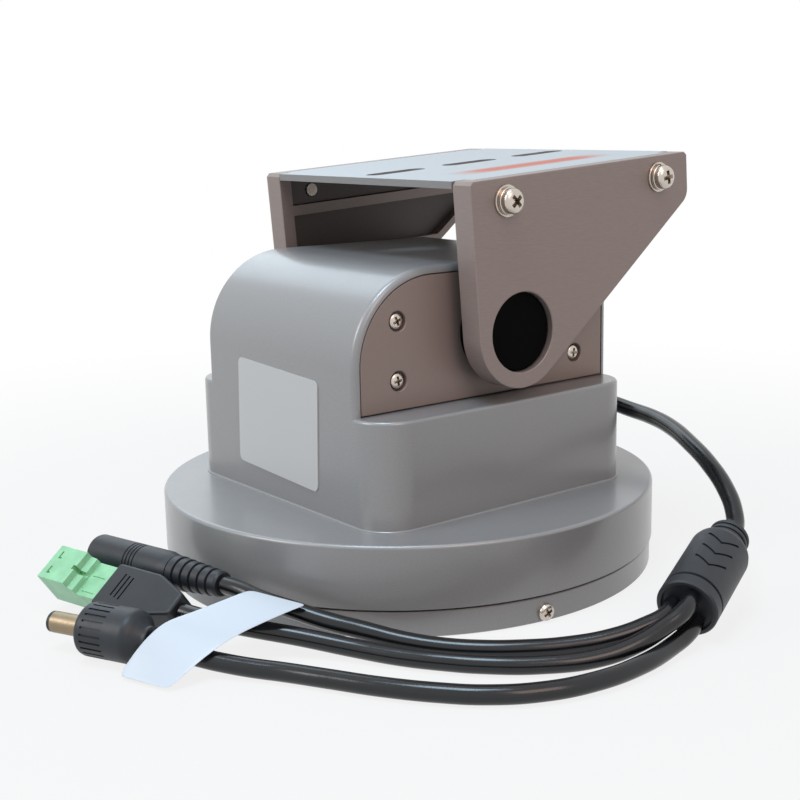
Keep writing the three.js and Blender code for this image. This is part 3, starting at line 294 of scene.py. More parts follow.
# a painted reflection of something orange on the top sheet beside the slots: where it lies across (x) and
# along (y), how wide and how soft
paintedReflection = {"x": 27, "half": 2.6, "soft": 4.5, "y": 27, "reach": 17, "fade": 16, "colour": (0.50, 0.12, 0.07)}


def sheetMetal(name, colour, metal, rough):
    # brushed along its length, with a painted orange reflection beside the row of slots
    tree, shader = newFinish(name, colour, metal, rough)
    lines = grain(tree, scale=1.0, detail=3, rough=0.6, stretch=(6, 0.25, 4))
    split = addNode(tree, "SeparateXYZ", {"Vector": placeOn(tree)})
    across = band(tree, split.outputs["X"], paintedReflection["x"], paintedReflection["half"], paintedReflection["soft"])
    ahead = band(tree, split.outputs["Y"], paintedReflection["y"], paintedReflection["reach"], paintedReflection["fade"])
    mix = tree.nodes.new("ShaderNodeMix")
    mix.data_type = "RGBA"
    setInputs(tree, mix, {
        "Factor": mathNode(tree, "MULTIPLY", across, ahead), "B": (*paintedReflection["colour"], 1),
        "A": shades(tree, lines, colour, (0.3, 0.95), (0.7, 1.05))})
    dress(tree, shader, mix.outputs["Result"], spread(tree, lines, rough - 0.06, rough + 0.06))
    relief(tree, shader, lines, strength=0.1, depth=0.02)


flakePaint("greyPaint", (0.28, 0.28, 0.282), metal=0.25, rough=0.4)
brushedMetal("brushedGrey", (0.30, 0.24, 0.218), metal=0.25, rough=0.46, stretch=(0.25, 0.35, 6))
brushedMetal("sheetEdge", (0.27, 0.265, 0.26), metal=0.2, rough=0.5, stretch=(0.3, 0.3, 5))
# painted shade: a darker copy of the brushed grey for the pocket floors and the top plate's underside
brushedMetal("paintedShadeGrey", (0.12, 0.1, 0.092), metal=0.2, rough=0.55, stretch=(1.5, 1.5, 1.5))
brushedMetal("coverGrey", (0.29, 0.225, 0.2), metal=0.25, rough=0.5, stretch=(4, 4, 4))
plainMetal("nickel", (0.60, 0.54, 0.48), rough=0.24)
plainMetal("steel", (0.56, 0.56, 0.57), rough=0.34)
plainMetal("brass", (0.72, 0.52, 0.24), rough=0.32)
plainMetal("bronze", (0.52, 0.33, 0.16), rough=0.42)
plainMetal("platedBarrel", (0.31, 0.245, 0.165), rough=0.4)
mouldedPlastic("blackCap", (0.002, 0.002, 0.002), rough=0.8, level=0.05)
mouldedPlastic("blackPlastic", (0.017, 0.021, 0.026), rough=0.45, level=0.45)
mouldedPlastic("blackPvc", (0.008, 0.009, 0.011), rough=0.2, depth=0.01)
mouldedPlastic("whiteNylon", (0.75, 0.72, 0.64), rough=0.5)
mouldedPlastic("terminalGreen", (0.33, 0.68, 0.4), rough=0.36)
mouldedPlastic("boardGreen", (0.02, 0.11, 0.045), rough=0.45)
paperFilm("labelFilm", (0.60, 0.595, 0.59), rough=0.4)
paperFilm("flagFilm", (0.66, 0.72, 0.78), rough=0.45)
sheetMetal("silverSheet", (0.46, 0.49, 0.51), metal=0.2, rough=0.5)
print("stage: finishes made")

# helpers for shapes, in millimetres


def boxShape(x, y, z):
    bm = bmesh.new()
    bmesh.ops.create_cube(bm, size=1)
    bmesh.ops.scale(bm, vec=(x[1] - x[0], y[1] - y[0], z[1] - z[0]), verts=bm.verts)
    bmesh.ops.translate(bm, vec=((x[0] + x[1]) / 2, (y[0] + y[1]) / 2, (z[0] + z[1]) / 2), verts=bm.verts)
    return bm


def latheShape(profile, steps=96, closed=False):
    # (radius, height) pairs turned round Z
    bm = bmesh.new()
    verts = [bm.verts.new((r, 0, z)) for r, z in profile]
    edges = [bm.edges.new(pair) for pair in zip(verts, verts[1:])]
    if closed:
        edges.append(bm.edges.new((verts[-1], verts[0])))
    bmesh.ops.spin(bm, geom=verts + edges, cent=(0, 0, 0), axis=(0, 0, 1), angle=fullTurn, steps=steps,
                   use_merge=True, use_normal_flip=False)
    bmesh.ops.remove_doubles(bm, verts=bm.verts, dist=1e-4)
    bmesh.ops.recalc_face_normals(bm, faces=bm.faces)
    return bm


def rodShape(radius, start, end, steps):
    return latheShape([(0, start), (radius, start), (radius, end), (0, end)], steps)


def dips(radius, start, pairs, way=1):
    # profile points from (dip below the radius, distance from the start) pairs
    return [(radius - dip, start + way * at) for dip, at in pairs]


def pulled(bm, reach):
    # a flat face pulled into a solid
    grown = bmesh.ops.extrude_face_region(bm, geom=bm.faces[:])
    bmesh.ops.translate(bm, vec=reach, verts=[v for v in grown["geom"] if isinstance(v, bmesh.types.BMVert)])
    bmesh.ops.recalc_face_normals(bm, faces=bm.faces)
    return bm


def moved(bm, matrix):
    bmesh.ops.transform(bm, matrix=matrix, verts=bm.verts)
    return bm


def turned(angle, axis="Z"):
    return Matrix.Rotation(angle, 4, axis)


alongX = Matrix(((0, 0, 1, 0), (1, 0, 0, 0), (0, 1, 0, 0), (0, 0, 0, 1)))     # what was Z points along +X


def aimed(place, direction):
    # what was Z points along the direction
    turn = Vector((0, 0, 1)).rotation_difference(Vector(direction).normalized()).to_matrix().to_4x4()
    return Matrix.Translation(place) @ turn


def near(a, b):
    return abs(a - b) < 0.01


def shifted(span, way):
    return tuple(each + way for each in span)


def edgesWhere(bm, test):
    return [e for e in bm.edges if all(test(v.co) for v in e.verts)]


def uprightEdges(bm):
    return [e for e in bm.edges if not near(e.verts[0].co.z, e.verts[1].co.z)]


def rounded(bm, edges, size, segments):
    bmesh.ops.bevel(bm, geom=edges, offset=size, offset_type="OFFSET", affect="EDGES", segments=segments,
                    profile=0.5, material=-1, clamp_overlap=True)
    return bm


def sided(bm, sign):
    # a piece on the left mirrors the one on the right
    if sign < 0:
        bmesh.ops.scale(bm, vec=(-1, 1, 1), verts=bm.verts)
        bmesh.ops.reverse_faces(bm, faces=bm.faces)
    return bm


def joined(parts):
    # several closed shapes as one mesh
    bm = bmesh.new()
    for part in parts:
        mesh = bpy.data.meshes.new("part")
        part.to_mesh(mesh)
        bm.from_mesh(mesh)
        part.free()
        bpy.data.meshes.remove(mesh)
    return bm


def looseObject(bm, name):
    mesh = bpy.data.meshes.new(name)
    bm.to_mesh(mesh)
    bm.free()
    return placed(name, mesh)


def combined(bm, tools, how="DIFFERENCE"):
    # cuts the tools away from the shape, or joins them on
    blank = looseObject(bm, "blank")
    helpers = [looseObject(tool, "tool") for tool in tools]
    for helper in helpers:
        step = blank.modifiers.new("step", "BOOLEAN")
        step.operation = how
        step.solver = "EXACT"
        step.object = helper
    mesh = bpy.data.meshes.new_from_object(blank.evaluated_get(bpy.context.evaluated_depsgraph_get()))
    result = bmesh.new()
    result.from_mesh(mesh)
    bpy.data.meshes.remove(mesh)
    for each in [blank] + helpers:
        bpy.data.meshes.remove(each.data)
    return result


def finished(name, bm, finish, body, node, crease=32, weighted=True):
    # turns the shape to metres, smooths it up to the crease angle and gives it its finishes and its body
    bmesh.ops.scale(bm, vec=(millimetre,) * 3, verts=bm.verts)
    obj = looseObject(bm, name)
    obj.data.shade_smooth()
    obj.data.set_sharp_from_angle(angle=math.radians(crease))
    for each in finish if isinstance(finish, tuple) else (finish,):
        obj.data.materials.append(finishes[each])
    if weighted:
        even = obj.modifiers.new("evenShading", "WEIGHTED_NORMAL")
        even.keep_sharp = True
    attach(obj, body)
    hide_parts(node)
    return obj


def moulded(name, bm, at, node):
    return finished(name, moved(bm, at), "blackPlastic", "head", node)


# cords

cords = {
    "mainRadius": 2.6,
    "branchRadius": 2.4,
    "roundSteps": 6,
    "alongSteps": 14,
    "main": [(0, 57.5, 41.2), (0.6, 63.2, 41.1), (4.7, 69.5, 40.3), (13.1, 73.7, 38.9), (24.5, 74.3, 37.6),
             (36.1, 71.9, 37.3), (47.7, 67.7, 36.6), (61.3, 61.3, 34.6), (73.6, 55.6, 31.4), (83.1, 51.2, 27),
             (89.5, 47.2, 22.6), (93.4, 42.9, 19.2), (95.3, 38.1, 17.9)],
    "jack": [(104.5, 4.3, 9.5), (106.2, -0.1, 8.2), (104.7, -6.1, 6.4), (101, -14.6, 4.4),
             (94.7, -24.4, 3), (87.9, -33.6, 2.6), (81.1, -41.1, 2.5), (73.5, -47.5, 2.6),
             (65.2, -53.5, 3.4), (57.3, -59.4, 5.2), (49.4, -65.9, 7.3), (41.1, -71.1, 9.4),
             (32.9, -75.3, 11), (25.8, -77.3, 12.1), (20.8, -78.4, 12.2)],
    "terminal": [(109.6, 5.5, 12.3), (111.4, 0.8, 10.8), (110.9, -5.8, 8.2), (109.3, -15.3, 5.2),
                 (105.7, -24.6, 3.3), (98.2, -36.1, 2.5), (88.3, -47, 2.5), (80.4, -53.1, 2.5),
                 (71.2, -58.9, 2.5), (59.6, -65.7, 3.2), (48.8, -73.5, 4.8), (39.1, -81.6, 6.4),
                 (30.3, -87.9, 7.6), (21.4, -91.2, 8)],
    "plug": [(109.4, 7.5, 5.5), (111.1, 3.1, 4.3), (112.3, -4.8, 2.9), (114.4, -18.4, 2.5),
             (113.6, -34.8, 2.5), (109.3, -47.5, 2.5), (102.3, -57.6, 2.5), (94.4, -64.8, 2.5),
             (82.5, -73.1, 2.5), (70.7, -79.7, 2.5), (60.1, -85.6, 2.5), (53, -90.6, 2.8),
             (47.5, -94.4, 3.3), (43.6, -97, 3.8), (39.6, -99.6, 4.6), (36, -101.9, 5.9),
             (31.3, -104.5, 6.9)],
}


def cordCurve(word, radius):
    route = cords[word]
    data = bpy.data.curves.new(word + "Cord", "CURVE")
    data.dimensions = "3D"
    data.bevel_depth = radius * millimetre
    data.bevel_resolution = cords["roundSteps"]
    data.resolution_u = cords["alongSteps"]
    data.use_fill_caps = True
    spline = data.splines.new("BEZIER")
    spline.bezier_points.add(len(route) - 1)
    for point, place in zip(spline.bezier_points, route):
        point.co = Vector(place) * millimetre
        point.handle_left_type = point.handle_right_type = "AUTO"
    data.materials.append(finishes["blackPvc"])
    obj = placed(word + "Cord", data)
    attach(obj, "head")
    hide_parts(word + "_cable")
    return obj


mainCord = cordCurve("main", cords["mainRadius"])
jackCord = cordCurve("jack", cords["branchRadius"])
terminalCord = cordCurve("terminal", cords["branchRadius"])
plugCord = cordCurve("plug", cords["branchRadius"])
print("stage: cords laid")

# fixed base and turntable

base = {
    "skirtRadius": 74.4, "skirtWall": 2.4, "skirtHeight": 7.0, "skirtEdge": 0.25,
    "drumRadius": 75, "drumFoot": 7.65, "drumEdge": 0.2, "drumTop": 25.1, "drumFillet": 1.0, "drumWall": 3,
    "hubBore": 16.3, "hubWall": 4, "hubFoot": 16.4, "hubStep": 17.4, "hubLip": 15,
    "steps": 256, "filletSteps": 5,
}


def makeSkirt():
    outer, wall, top, edge = picked(base, "skirtRadius", "skirtWall", "skirtHeight", "skirtEdge")
    inner = outer - wall
    bm = latheShape([(inner, 0), (outer - edge, 0), (outer, edge), (outer, top - edge), (outer - edge, top),
                     (inner, top)], base["steps"], closed=True)
    return finished("baseSkirt", bm, "greyPaint", "base", "base_ring")


def makeDrum():
    outer, foot, top, edge = picked(base, "drumRadius", "drumFoot", "drumTop", "drumEdge")
    inner, under = outer - base["drumWall"], top - base["drumWall"]
    bore, hubFoot, step, lip = picked(base, "hubBore", "hubFoot", "hubStep", "hubLip")
    hubOuter = bore + base["hubWall"]
    bm = latheShape([
        (lip, hubFoot), (hubOuter, hubFoot), (hubOuter, under), (inner, under), (inner, foot),
        (outer - edge, foot), (outer, foot + edge), (outer, top), (bore, top), (bore, step), (lip, step),
    ], base["steps"], closed=True)
    rim = edgesWhere(bm, lambda v: near(v.z, top) and near(math.hypot(v.x, v.y), outer))
    rounded(bm, rim, base["drumFillet"], base["filletSteps"])
    return finished("drum", bm, "greyPaint", "head", "turntable")


makeSkirt()
makeDrum()

# screws: a head turned round Z, with a cross recess

screwShares = {
    # of the head's radius and of its rise
    "dome": ((1, 0), (1, 0.4), (0.96, 0.62), (0.84, 0.82), (0.62, 0.95), (0.3, 1), (0, 1)),
    "crossArm": 0.66, "crossHalf": 0.19, "crossFloor": 0.1, "crossTop": 1.3, "crossTaper": 0.5,
}
skirtScrew = {
    "height": 2.7, "angles": (-9, 81, 171, 261), "head": 2.4, "rise": 1.6, "shank": 1.25, "length": 8,
    "turn": 0.5,
}


def crossTool(radius, rise):
    # tapered cross driver
    armShare, halfShare, taper = picked(screwShares, "crossArm", "crossHalf", "crossTaper")
    arm, half = armShare * radius, halfShare * radius
    floorZ, top = screwShares["crossFloor"] * rise, screwShares["crossTop"] * rise
    bars = []
    for x, y in ((arm, half), (half, arm)):
        bar = boxShape((-x, x), (-y, y), (floorZ, top))
        low = [v for v in bar.verts if near(v.co.z, floorZ)]
        bmesh.ops.scale(bar, vec=(taper, taper, 1), verts=low)
        bars.append(bar)
    return combined(bars[0], [bars[1]], "UNION")


def panHead(facts):
    radius, rise, shank, length = picked(facts, "head", "rise", "shank", "length")
    dome = [(radius * outShare, rise * upShare) for outShare, upShare in screwShares["dome"]]
    bm = latheShape([(0, -length), (shank, -length), (shank, 0)] + dome, 40)
    return combined(bm, [crossTool(radius, rise)])


for index, angle in enumerate(skirtScrew["angles"]):
    place = turned(math.radians(angle)) @ placeAt(base["skirtRadius"], 0, skirtScrew["height"])
    screw = moved(panHead(skirtScrew), place @ alongX @ turned(skirtScrew["turn"] + index))
    finished(f"skirtScrew{index + 1}", screw, "nickel", "base", f"ring_screw_{index + 1}")
print("stage: base and turntable made")

# casing

casing = {
    "halfWidth": 49.4, "halfDepth": 47.5, "bottom": 25.1, "ledge": 55.2, "corner": 11, "ledgeFillet": 1.0,
    "bead": 0.5, "beadRoundShare": 0.9, "archStart": 4,
    "side": 38.2, "top": 93.8, "frontRadius": 26.2, "backRadius": 13, "rimFillet": 1.8, "wall": 2.5,
    "coverThick": 3, "web": 2.5, "coverRim": 2, "gap": 0.3, "coverEdge": 0.35,
    "opening": ((-21.2, 24.8), (59, 88)), "gland": (0, 41.2, 4.9), "glandDepth": 4,
    "bore": 8.6, "boss": 11.5, "bossLength": 5, "bossSink": 1.5,
    "archSteps": 24, "coverSteps": 20, "cornerSteps": 16, "rodSteps": 64, "crease": 28,
}
coverScrew = {
    "places": ((-32.6, 79.8), (-32.6, 63.5), (33.8, 63.5), (33.8, 79.8)), "head": 2.35, "rise": 1.5,
    "shank": 1.5, "length": 3.4, "sink": 1.7, "well": 2.8, "wellFloor": 1.8, "wellEdge": 0.2, "bore": 1.65,
    "turn": 0.4, "turnStep": 1.3,
}
pivot = {"y": 1.8, "z": 74.5, "lean": 4.2}


def archBlock(inset, bottom, x, segments):
    # block with the big front round and the smaller back round of the casing's upper part
    depth, top = casing["halfDepth"] - inset, casing["top"] - inset
    bm = boxShape(x, (-depth, depth), (bottom, top))
    frontEdge = edgesWhere(bm, lambda v: near(v.y, -depth) and near(v.z, top))
    rounded(bm, frontEdge, casing["frontRadius"] - inset, segments)
    backEdge = edgesWhere(bm, lambda v: near(v.y, depth) and near(v.z, top))
    rounded(bm, backEdge, casing["backRadius"] - inset, segments)
    return bm


def rimEdges(bm, x, bottom):
    # the outline at one end of an arch block, without its bottom edge
    found = edgesWhere(bm, lambda v: near(v.x, x))
    return [e for e in found if not all(near(v.co.z, bottom) for v in e.verts)]


def lowerBlock(inset, bottom, top):
    x, y = casing["halfWidth"] - inset, casing["halfDepth"] - inset
    bm = boxShape((-x, x), (-y, y), (bottom, top))
    return rounded(bm, uprightEdges(bm), casing["corner"] - inset, casing["cornerSteps"])


def makeShell():
    ledge, bottom, side, wall = picked(casing, "ledge", "bottom", "side", "wall")
    archSteps, coverSteps = picked(casing, "archSteps", "coverSteps")
    low = lowerBlock(0, bottom, ledge)
    rounded(low, edgesWhere(low, lambda v: near(v.z, ledge)), casing["ledgeFillet"], 4)
    beadTop = bottom + casing["bead"]     # a bead runs where the block meets the drum
    foot = lowerBlock(-casing["bead"], bottom, beadTop)
    beadEdges = edgesWhere(foot, lambda v: near(v.z, beadTop))
    rounded(foot, beadEdges, casing["beadRoundShare"] * casing["bead"], 3)
    archFoot = bottom + casing["archStart"]
    arch = archBlock(0, archFoot, (-side, side), archSteps)
    for end in (-side, side):
        rounded(arch, rimEdges(arch, end, archFoot), casing["rimFillet"], 5)
    shell = combined(low, [foot, arch], "UNION")
    webOuter = side - casing["coverThick"]
    webInner = webOuter - casing["web"]
    glandX, glandZ, glandRadius = casing["gland"]
    glandAt = aimed((glandX, casing["halfDepth"] - casing["glandDepth"], glandZ), (0, 1, 0))
    tools = [
        lowerBlock(wall, bottom - overrun, ledge - wall),
        archBlock(wall, bottom - 1.5 * overrun, (-webInner, webInner), archSteps),
        boxShape((-side - overrun, side + overrun), *casing["opening"]),
        moved(rodShape(glandRadius, 0, casing["glandDepth"] + overrun, 32), glandAt),
        archBlock(casing["coverRim"], ledge, (webOuter, side + overrun), coverSteps),
        archBlock(casing["coverRim"], ledge, (-side - overrun, -webOuter), coverSteps),
    ]
    shell = combined(shell, tools)
    return finished("shell", shell, "greyPaint", "head", "casing", casing["crease"])


def coverScrewTool(y, z):
    well, edge, bore, floorDepth = picked(coverScrew, "well", "wellEdge", "bore", "wellFloor")
    side = casing["side"]
    inside, seat, outside = side - casing["coverThick"] - overrun, side - floorDepth, side + overrun
    tool = latheShape([(0, inside), (bore, inside), (bore, seat), (well, seat), (well, side - edge),
                       (well + edge, side), (well + edge, outside), (0, outside)], 40)
    return moved(tool, placeAt(0, y, z) @ alongX)


def makeCover(word, sign):
    side, inside = casing["side"], casing["side"] - casing["coverThick"]
    inset, bottom = casing["coverRim"] + casing["gap"], casing["ledge"] + casing["gap"]
    bm = archBlock(inset, bottom, (inside, side), casing["coverSteps"])
    outline = edgesWhere(bm, lambda v: near(v.x, side))
    rounded(bm, outline, casing["coverEdge"], 2)
    about = placeAt(0, pivot["y"], pivot["z"]) @ alongX
    bossStart = inside - casing["bossLength"]
    boss = rodShape(casing["boss"], bossStart, side - casing["bossSink"], casing["rodSteps"])
    bm = combined(bm, [moved(boss, about)], "UNION")
    bore = rodShape(casing["bore"], bossStart - overrun, side + overrun, casing["rodSteps"])
    bm = combined(bm, [moved(bore, about)] + [coverScrewTool(y, z) for y, z in coverScrew["places"]])
    return finished(f"{word}Cover", sided(bm, sign), "coverGrey", "head", f"{word}_cover")


def makeCoverScrew(word, sign, index, y, z):
    at = placeAt(casing["side"] - coverScrew["sink"], y, z) @ alongX
    bm = moved(panHead(coverScrew), at @ turned(coverScrew["turn"] + coverScrew["turnStep"] * index))
    return finished(f"{word}CoverScrew{index + 1}", sided(bm, sign), "nickel", "head",
                    f"{word}_cover_screw_{index + 1}")


makeShell()
for word, sign in (("right", 1), ("left", -1)):
    makeCover(word, sign)
    for index, (y, z) in enumerate(coverScrew["places"]):
        makeCoverScrew(word, sign, index, y, z)
print("stage: casing and covers made")

# tilting bracket, drawn about the pivot and leaned forwards

lean = placeAt(0, pivot["y"], pivot["z"]) @ turned(math.radians(pivot["lean"]), "X")

bracket = {
    "half": 50.5, "thick": 7.6, "end": 15.8, "reach": 70.6, "rise": 43.2, "backEdge": 13.6, "corner": 5,
    "topCorner": 1, "hole": 11.3, "holeEdge": 0.25, "pocket": 3.4, "rim": 4.2, "diagonalRim": 2.5,
    "pocketFloor": 16, "rib": (29.4, 32.6), "edge": 0.4, "sheet": 2, "flange": 2, "flangeSink": 1, "gap": 0.3,
    "slot": (20.5, 6.4), "slotX": -2, "slotPlaces": (-0.4, 28.5, 57.4),
    "screws": (-3.5, 57.2), "screwHeight": 36.9, "screwBore": 2.3, "boreReach": 60, "endSteps": 36,
    "crease": 30,
}
bracketScrew = {
    "flat": {"bore": 2.3, "radius": 4.4, "edge": (0.15, 0.15), "span": (0, 0.8)},
    "spring": {"bore": 2.2, "radius": 3.85, "edge": (0.2, 0.15), "span": (0.9, 1.9)},
    "slit": ((1, 5), (-0.25, 0.25), (0.5, 2.2)), "slitLean": 0.5, "slitTurn": 1.0,
    "head": 3.5, "rise": 2.4, "shank": 2.0, "length": 8.9, "seat": 2.0, "turn": 0.7,
}
hub = {"bore": 5.1, "collar": 13, "gap": 0.3, "sink": 1.6, "edge": (0.5, 0.3), "cap": 1.9}


def diagonal():
    # slope of the lower edge, from the round end to the back edge
    reach, cornerZ = bracket["reach"], bracket["rise"] - bracket["backEdge"]
    return math.atan2(cornerZ, reach) + math.asin(bracket["end"] / math.hypot(reach, cornerZ))


def sidePlateBlank(x0, x1):
    slope = diagonal()
    end, reach, rise, corner, cut = picked(bracket, "end", "reach", "rise", "corner", "topCorner")
    bm = bmesh.new()
    first = bm.verts.new((x0, -end, 0))
    bmesh.ops.spin(bm, geom=[first], cent=(0, 0, 0), axis=(1, 0, 0), angle=math.pi / 2 + slope,
                   steps=bracket["endSteps"])
    bm.verts.ensure_lookup_table()
    endVert = bm.verts[-1]
    y, z = reach - corner, rise - bracket["backEdge"] + corner * math.tan((math.pi / 2 - slope) / 2)
    cornerStart = bm.verts.new((x0, y + corner * math.sin(slope), z - corner * math.cos(slope)))
    bmesh.ops.spin(bm, geom=[cornerStart], cent=(0, y, z), axis=(1, 0, 0), angle=math.pi / 2 - slope,
                   steps=10)
    bm.verts.ensure_lookup_table()
    cornerEnd = bm.verts[-1]
    top = [bm.verts.new((x0, y, z)) for y, z in
           ((reach, rise - cut), (reach - cut, rise), (-end + cut, rise), (-end, rise - cut))]
    bm.edges.new((endVert, cornerStart))
    for a, b in zip([cornerEnd] + top, top + [first]):
        bm.edges.new((a, b))
    bmesh.ops.edgeloop_fill(bm, edges=bm.edges)
    return pulled(bm, (x1 - x0, 0, 0))


def prism(outline, x0, x1):
    # a flat outline in (y, z) pulled along X
    bm = bmesh.new()
    bm.faces.new([bm.verts.new((x0, y, z)) for y, z in outline])
    return pulled(bm, (x1 - x0, 0, 0))


def screwBores(start, end, steps):
    return [moved(rodShape(bracket["screwBore"], start, end, steps),
                  placeAt(0, y, bracket["screwHeight"]) @ alongX) for y in bracket["screws"]]


def makeSidePlate(word, sign):
    half, end, rim, hole, edge = picked(bracket, "half", "end", "rim", "hole", "holeEdge")
    inner = half - bracket["thick"]
    inside, outside = inner - overrun, half + overrun
    floorX = inner + bracket["pocket"]
    slope = diagonal()
    front, back = -end + rim, bracket["reach"] - rim
    low, (ribLow, ribHigh), above = bracket["pocketFloor"], bracket["rib"], bracket["rise"] + overrun
    across = lambda z: (z * math.cos(slope) + end - bracket["diagonalRim"]) / math.sin(slope)
    bm = sidePlateBlank(inner, half)
    outlines = edgesWhere(bm, lambda v: near(v.x, half)) + edgesWhere(bm, lambda v: near(v.x, inner))
    rounded(bm, outlines, bracket["edge"], 2)
    eye = latheShape([(0, inside), (hole, inside), (hole, half - edge), (hole + edge, half),
                      (hole + edge, outside), (0, outside)])
    tools = [
        prism([(front, low), (across(low), low), (across(ribLow), ribLow), (front, ribLow)], inside, floorX),
        prism([(front, ribHigh), (back, ribHigh), (back, above), (front, above)], inside, floorX),
        moved(eye, alongX),
    ]
    bm = combined(bm, tools + screwBores(inside, outside, 32))
    for face in bm.faces:
        # the sunk floors of the pockets get a darker grey, which is painted shade
        sunk = near(face.calc_center_median().x, floorX) and abs(face.normal.x) > 0.9
        face.material_index = int(sunk)
    return finished(f"{word}SidePlate", moved(sided(bm, sign), lean), ("brushedGrey", "paintedShadeGrey"),
                    "bracket", f"{word}_side_plate", bracket["crease"])


def makeTopPlate():
    rise, half, end, reach, gap, rim = picked(bracket, "rise", "half", "end", "reach", "gap", "rim")
    inner = half - bracket["thick"]
    narrow, wide = inner - gap, inner + bracket["pocket"] - gap
    start, stop = -end + rim + gap, reach - rim - gap
    bottom = rise - bracket["sheet"]
    through = (bottom - overrun, rise + overrun)
    flangeZ = (bracket["rib"][1] + gap, rise - bracket["flangeSink"])
    bm = boxShape((-wide, wide), (-end, reach), (bottom, rise))
    corners, flanges, slots = [], [], []
    for x in (-1, 1):
        cornerX = sorted((x * narrow, x * (wide + overrun)))
        for cornerY in ((-end - overrun, start), (stop, reach + overrun)):
            corners.append(boxShape(cornerX, cornerY, through))
        flanges.append(boxShape(sorted((x * (wide - bracket["flange"]), x * wide)), (start, stop), flangeZ))
    bm = combined(combined(bm, corners), flanges, "UNION")
    length, width = bracket["slot"]
    for y in bracket["slotPlaces"]:
        slot = boxShape((-width / 2, width / 2), (-length / 2, length / 2), through)
        rounded(slot, uprightEdges(slot), width / 2 - 0.05, 10)
        slots.append(moved(slot, placeAt(bracket["slotX"], y, 0)))
    bm = combined(bm, slots + screwBores(-bracket["boreReach"], bracket["boreReach"], 24))
    for face in bm.faces:
        # only the upper side is bright silver and the cut edges are as grey as the side plates; what is
        # below, flanges too, gets the darker grey of painted shade
        height, upward = face.calc_center_median().z, face.normal.z
        if near(height, rise) and upward > 0.9:
            face.material_index = 0
        else:
            face.material_index = 1 if height > bottom and abs(upward) < 0.5 else 2
    return finished("topPlate", moved(bm, lean), ("silverSheet", "sheetEdge", "paintedShadeGrey"), "bracket",
                    "top_plate", bracket["crease"])


def washerShape(facts):
    bore, radius, (inset, drop), (foot, top) = picked(facts, "bore", "radius", "edge", "span")
    return latheShape([(bore, foot), (radius - inset, foot), (radius, foot + drop), (radius, top - drop),
                       (radius - inset, top), (bore, top)], 48, closed=True)


def makeBracketScrew(word, sign, index, y):
    facts = bracketScrew
    slitAt = turned(facts["slitTurn"] + index) @ turned(facts["slitLean"], "X")
    spring = combined(washerShape(facts["spring"]), [moved(boxShape(*facts["slit"]), slitAt)])
    head = moved(panHead(facts), placeAt(0, 0, facts["seat"]) @ turned(facts["turn"] + index))
    bm = joined((washerShape(facts["flat"]), spring, head))
    moved(bm, placeAt(bracket["half"], y, bracket["screwHeight"]) @ alongX)
    return finished(f"{word}BracketScrew{index + 1}", moved(sided(bm, sign), lean), "nickel", "bracket",
                    f"{word}_bracket_screw_{index + 1}")


def makeHub(word, sign):
    bore, collar, (inset, drop), gap = picked(hub, "bore", "collar", "edge", "gap")
    half, side = bracket["half"], casing["side"] + gap
    inner, end, r = half - bracket["thick"], half - hub["sink"], bracket["hole"] - gap
    under = end - hub["cap"]
    bm = latheShape([(bore, side), (collar, side), (collar, inner), (r, inner), (r, end - drop),
                     (r - inset, end), (0, end), (0, under), (bore, under)], 64, closed=True)
    return finished(f"{word}Hub", moved(sided(moved(bm, alongX), sign), lean), "blackCap", "bracket",
                    f"{word}_tilt_hub")


makeTopPlate()
for word, sign in (("right", 1), ("left", -1)):
    makeSidePlate(word, sign)
    makeHub(word, sign)
    for index, y in enumerate(bracket["screws"]):
        makeBracketScrew(word, sign, index, y)
print("stage: bracket made")

# label on the front of the casing

label = {"width": 41.5, "height": 31.5, "thick": 0.3, "corner": 2, "z": 48.1, "turn": -2.5}


def makeLabel():
    halfWidth, halfHeight = label["width"] / 2, label["height"] / 2
    bm = boxShape((-halfWidth, halfWidth), (-halfHeight, halfHeight), (0, label["thick"]))
    rounded(bm, uprightEdges(bm), label["corner"], 8)
    moved(bm, turned(math.pi / 2, "X") @ turned(math.radians(label["turn"])))
    moved(bm, placeAt(0, -casing["halfDepth"], label["z"]))
    return finished("bareLabel", bm, "labelFilm", "head", "rating_label")


makeLabel()
print("stage: label made")

# gland, splitter and connectors, each turned about its own axis: where that starts and the way it points
# the pairs are dips below a radius and distances along the axis

gland = {
    "axis": ((casing["gland"][0], casing["halfDepth"], casing["gland"][1]), (0, 1, 0)), "depth": 4,
    "body": 4.6, "flange": ((7, 0), (7, 1.5), (6.5, 2), (4.9, 2)), "rings": 4, "start": 2.4, "pitch": 1.8,
    "taper": 0.3, "ring": ((0, 0), (0, 1), (0.7, 1.1), (0.7, 1.7)),
    "mouth": ((3.3, 10), (2.7, 10), (2.65, 8), (0, 8)),
}


def makeGland():
    depth, body = gland["depth"], gland["body"]
    profile = [(0, -depth), (body, -depth), (body, 0), *gland["flange"]]
    for step in range(gland["rings"]):
        profile += dips(body - step * gland["taper"], gland["start"] + step * gland["pitch"], gland["ring"])
    bm = latheShape(profile + list(gland["mouth"]), 48)
    return moulded("gland", bm, aimed(*gland["axis"]), "cable_gland")


splitter = {
    "axis": ((95.1, 38.6, 18), (0.35, -0.9, -0.25)),
    "neck": 5.75, "neckLength": 6.5, "rings": 3, "ringStart": 0.3, "pitch": 2.05,
    "ring": ((0.2, 0), (0, 0.3), (0, 1.0), (0.2, 1.3), (0.9, 1.45), (0.9, 1.9)),
    "body": 8.3, "length": 30, "shoulder": ((2.35, 0.2), (1.0, 1.2), (0.3, 2.2), (0, 3.4)),
    "end": ((0, 4.6), (0.6, 4.4), (0.6, 3.8), (0, 3.6), (0, 0.5), (0.4, 0), (1.2, 0), (1.3, 1.2), (8.3, 1.2)),
    "chevrons": (9, 14.5, 20), "chevronTurns": (0.0, math.pi), "armLean": 0.62, "armCuts": 6,
    "arm": ((-0.4, 5.6), (-0.45, 1), (-0.35, 0.35)),
}


